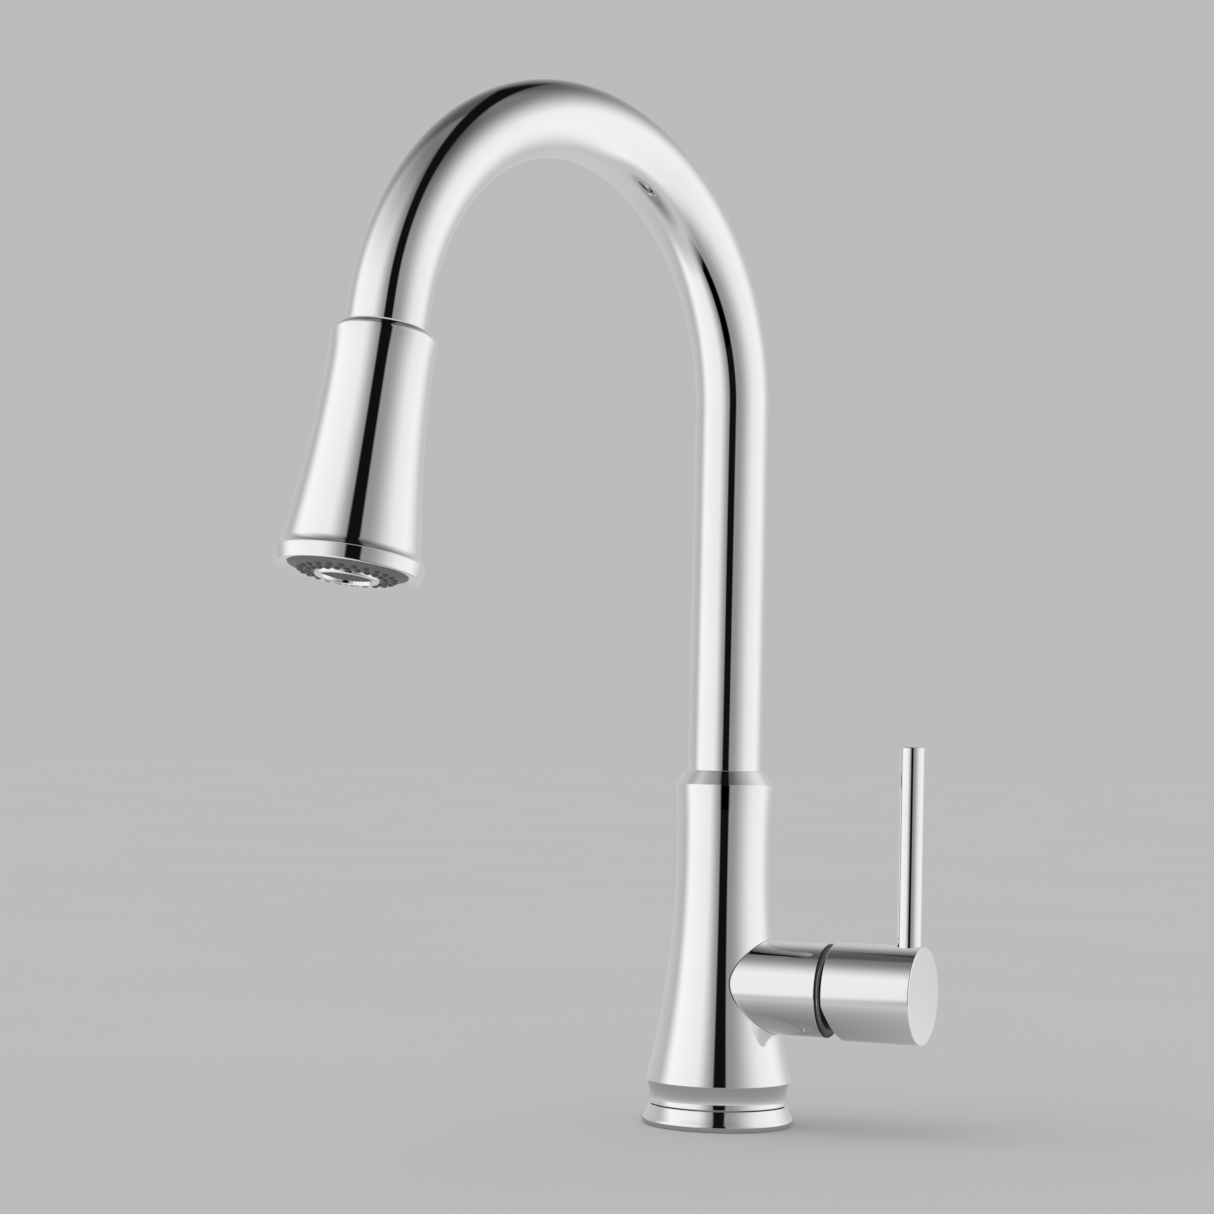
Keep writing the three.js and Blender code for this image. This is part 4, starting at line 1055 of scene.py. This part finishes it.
top = max(range(len(route)), key=lambda i: route[i].z)
riser = braided("spray_hose_riser", 0, top)
keep(riser, "spout", braid, "hose_braid", "spray_hose")
hose = braided("spray_hose_braid", top, len(route) - 1)
hose.data.materials.append(braid)
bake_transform(hose)

# %% Hose end
NECK = HOSE_R - 0.6
outline = rounded([
    (3.2, 14.0, 0.1), (7.6, 14.0, 0.2), (7.6, 15.5, 0.2), (NECK, 15.5, 0.1), (NECK, 20.5, 0.1), (6.9, 20.5, 0.3),
    (6.9, 22.6, 0.3), (6.5, 23.2, 0.3), (6.9, 23.8, 0.3), (6.9, 26.0, 0.3), (6.5, 26.6, 0.3), (6.9, 27.2, 0.3), (6.9, FERRULE_TOP, 0.4),
    (6.0, FERRULE_TOP, 0.1), (6.0, FERRULE_END, 0.1), (3.2, FERRULE_END, 0.1),
])
ferrule = turned("hose_ferrule_steel", outline, HEAD, sides=64)
keep(ferrule, "hose_end", steel, "steel", "hose_ferrule")

# %% Hose nut
outline = rounded([
    (5.5, 15.8, 0.1), (8.0, 15.8, 0.1), (8.0, 6.6, 0.1), (9.6, 6.6, 0.3), (9.6, 15.2, 0.4), (7.3, 20.2, 0.4), (5.5, 20.2, 0.1),
])
nut = turned("hose_cone_nut", outline, HEAD, sides=96)
keep(nut, "spray_head", chrome, "chrome", "hose_nut")

# %% [markdown]
# ## Hidden pieces
# What stays out of sight keeps its CAD shape and gets the finish of what it is made of.

# %% CAD nodes that stay
finish_of = {
    "chrome": chrome, "brass": brass, "steel": steel, "copper": copper, "ceramic": ceramic, "grey_rubber": grey_rubber,
    "black_rubber": black_rubber, "grey_plastic": grey_plastic, "white_plastic": white_plastic, "hose_braid": braid, "magnet": magnet,
}
dressed = 0
for name in sorted(frame["nodes"]):
    node = frame["nodes"][name]
    if node.hide_render:
        continue
    finish = node.data.materials[0].name
    node.data.materials[0] = finish_of[finish]
    dressed += 1
print(dressed, "CAD nodes keep their shape")

# %% [markdown]
# ## Studio
# Polished metal is lit inside a white tent. The tent gives the broad white bands, and the slit that is left for
# the lens, and goes on up and over the top, is the black line down each tube. The world could stand for the
# tent, but it is endlessly far away, and then the line would lie wrong on the spray head, which hangs nearer
# to the lens. So the tent is a dome one metre round the faucet that only reflections see.
# Two lamps light the cloth from outside, a broad one at the left and a softer one at the right. What they leave
# is grey: darker beside the lens, lighter behind the faucet. Overhead the light fades.

# %% Lamps on the cloth
LEFT_LAMP = {"turn": math.radians(-62), "full": math.radians(22), "gone": math.radians(52), "glow": 0.52}
RIGHT_LAMP = {"turn": math.radians(85), "full": math.radians(12), "gone": math.radians(68), "glow": 0.45}
CLOTH_FRONT, CLOTH_BACK = 0.27, 0.55
TENT_GLOW = 1.07


def cloth_tone(tree, around, away):
    """How bright the cloth is at an angle round the tent, where 0 is the lens and the right is positive."""
    tone = add_range(tree, away, -1.0, 1.0, CLOTH_FRONT, CLOTH_BACK)
    for lamp in (LEFT_LAMP, RIGHT_LAMP):
        off = add_math(tree, "ABSOLUTE", add_math(tree, "SUBTRACT", around, lamp["turn"]))
        tone = add_math(tree, "ADD", tone, add_range(tree, off, lamp["full"], lamp["gone"], lamp["glow"], 0.0, "SMOOTHSTEP"))
    return tone


def new_glow(name):
    """A light-giving material, its tree and the place on the piece."""
    material = bpy.data.materials.new(name)
    material.use_nodes = True
    material.cycles.emission_sampling = "NONE"
    tree = material.node_tree
    tree.nodes.clear()
    coordinates = tree.nodes.new("ShaderNodeTexCoord")
    return material, tree, coordinates.outputs["Object"]


def seen_by_gloss_only(piece, material):
    piece.data.materials.append(material)
    for ray in ("camera", "diffuse", "transmission", "volume_scatter", "shadow"):
        setattr(piece, "visible_" + ray, False)


print("the lamps add", LEFT_LAMP["glow"], "and", RIGHT_LAMP["glow"])

# %% Tent
TENT_R, TENT_Z = 1.0, 0.15
FADE_LOW, FADE_HIGH, OVERHEAD = 28.0, 72.0, 0.2       # degrees up, and the share of light that is left there
SLIT_HALF, SLIT_HALF_OVERHEAD = 0.16, 0.11

start_clean()
bpy.ops.mesh.primitive_uv_sphere_add(segments=96, ring_count=48, radius=TENT_R, location=(0, 0, TENT_Z))
tent = bpy.context.object
tent.name = "tent"
bpy.ops.object.transform_apply(location=True)
material, tree, place = new_glow("tent_cloth")
towards_lens = add_node(tree, "ShaderNodeMapping", Vector=place, Location=(0, 0, -TENT_Z),
                        Rotation=(0, 0, -CAMERA_TURN), Scale=(1 / TENT_R,) * 3)
parts = add_node(tree, "ShaderNodeSeparateXYZ", Vector=towards_lens.outputs[0])
sideways, away, upwards = (parts.outputs[i] for i in range(3))
around = add_math(tree, "ARCTAN2", sideways, add_math(tree, "MULTIPLY", away, -1.0))
rise = add_math(tree, "MULTIPLY", add_math(tree, "ARCSINE", upwards), 180 / math.pi)
fade = add_range(tree, rise, FADE_LOW, FADE_HIGH, 1.0, OVERHEAD, "SMOOTHSTEP")
cloth = add_math(tree, "MULTIPLY", cloth_tone(tree, around, away), fade)

# the slit, which ends a little behind the top
half = add_range(tree, upwards, 0.3, 0.8, SLIT_HALF, SLIT_HALF_OVERHEAD)
off = add_math(tree, "SUBTRACT", add_math(tree, "ABSOLUTE", sideways), half)
outside = add_range(tree, off, -0.01, 0.04, 0.0, 1.0)
behind = add_range(tree, away, 0.35, 0.5, 0.0, 1.0)
tone = add_mix(tree, add_math(tree, "MAXIMUM", outside, behind), (0.005, 0.005, 0.005, 1), cloth)
glow = add_node(tree, "ShaderNodeEmission", Color=tone, Strength=TENT_GLOW)
output = tree.nodes.new("ShaderNodeOutputMaterial")
tree.links.new(glow.outputs[0], output.inputs["Surface"])
seen_by_gloss_only(tent, material)
print("the slit is", round(2 * SLIT_HALF * TENT_R, 2), "m wide")

# %% [markdown]
# The dome goes on below the floor, so the floor needs its own tone for reflections. It is lit by the same two
# lamps, is dark in the slit's direction further off, and is darker and more even close to the faucet, which
# stands in the light's way.

# %% Floor as the metal sees it
FLOOR_NEAR = 0.52
SLIT_ON_FLOOR = math.radians(8.5)

start_clean()
bpy.ops.mesh.primitive_circle_add(vertices=96, radius=TENT_R * 0.98, fill_type="NGON", location=(0, 0, 0.05 * MM))
glow_floor = bpy.context.object
glow_floor.name = "floor_glow"
bpy.ops.object.transform_apply(location=True)
material, tree, place = new_glow("floor_glow")
towards_lens = add_node(tree, "ShaderNodeMapping", Vector=place, Rotation=(0, 0, -CAMERA_TURN))
length = tree.nodes.new("ShaderNodeVectorMath")
length.operation = "LENGTH"
tree.links.new(place, length.inputs[0])
reach = length.outputs["Value"]
parts = add_node(tree, "ShaderNodeSeparateXYZ", Vector=towards_lens.outputs[0])
around = add_math(tree, "ARCTAN2", parts.outputs["X"], add_math(tree, "MULTIPLY", parts.outputs["Y"], -1.0))
away = add_math(tree, "DIVIDE", parts.outputs["Y"], add_math(tree, "MAXIMUM", reach, 0.001))
beside_slit = add_range(tree, add_math(tree, "ABSOLUTE", around), SLIT_ON_FLOOR, SLIT_ON_FLOOR * 1.5, 0.0, 1.0)
far = add_math(tree, "MULTIPLY", cloth_tone(tree, around, away), beside_slit)
even = (FLOOR_NEAR, FLOOR_NEAR, FLOOR_NEAR, 1)
tone = add_mix(tree, add_range(tree, reach, 0.16, 0.28, 0.0, 1.0), even, far)
strength = add_range(tree, reach, 0.03, 0.12, 0.45, TENT_GLOW)
glow = add_node(tree, "ShaderNodeEmission", Color=tone, Strength=strength)
output = tree.nodes.new("ShaderNodeOutputMaterial")
tree.links.new(glow.outputs[0], output.inputs["Surface"])
seen_by_gloss_only(glow_floor, material)
print("near the faucet the floor's tone is", FLOOR_NEAR)

# %% [markdown]
# The floor is plain paper, and the backdrop is the world, a pale grey. Neither is in the reflections, because
# the tent is in front of them. One soft light from above gives the floor its tone and the faucet its shadow.

# %% Floor and light
start_clean()
bpy.ops.mesh.primitive_circle_add(vertices=96, radius=14, fill_type="NGON", location=(0, 0, 0))
floor = bpy.context.object
floor.name = "floor"
material, tree, shader = new_material("floor_paper")
fibres = place_noise(tree, 3.0, 2.0)
tree.links.new(add_mix(tree, fibres, (0.78, 0.78, 0.78, 1), (0.81, 0.81, 0.81, 1)), shader.inputs["Base Color"])
shader.inputs["Roughness"].default_value = 0.9
shader.inputs["Specular IOR Level"].default_value = 0.0
floor.data.materials.append(material)
floor.visible_glossy = False

world = bpy.data.worlds.new("backdrop")
world.use_nodes = True
world.node_tree.nodes["Background"].inputs["Color"].default_value = (0.50, 0.50, 0.50, 1)
bpy.context.scene.world = world
bpy.context.scene.view_settings.view_transform = "Standard"

sun_data = bpy.data.lights.new("soft_light", "SUN")
sun_data.energy, sun_data.angle = 0.50, math.radians(60)
sun = bpy.data.objects.new("soft_light", sun_data)
sun.matrix_world = Matrix.Rotation(math.radians(-25), 4, "Y") @ Matrix.Rotation(math.radians(20), 4, "X")
sun.visible_glossy = False
bpy.context.scene.collection.objects.link(sun)
print("floor radius", round(max(v.co.length for v in floor.data.vertices), 1), "m")

# %% [markdown]
# ## No faucet in the faucet
# The head, spout and hub would stand in the body, neck and ring as dark shapes that make the metal hard to
# read. So only the body and its ring are in the reflections, and the rest is left out all together, so that no
# inside shows in place of an outside.

# %% Left out of reflections
pieces = [part for anchor in frame["bodies"].values() for part in anchor.children_recursive] + [bpy.data.objects["spray_hose_braid"]]
for part in pieces:
    part.visible_glossy = part in (body, base_ring)
print("in the reflections:", ", ".join(part.name for part in pieces if part.visible_glossy))

# %% [markdown]
# ## Pieces made
# The pieces made here are counted, with their faces.

# %% Pieces made
print("pieces:", len(made), "with", sum(made.values()), "faces")
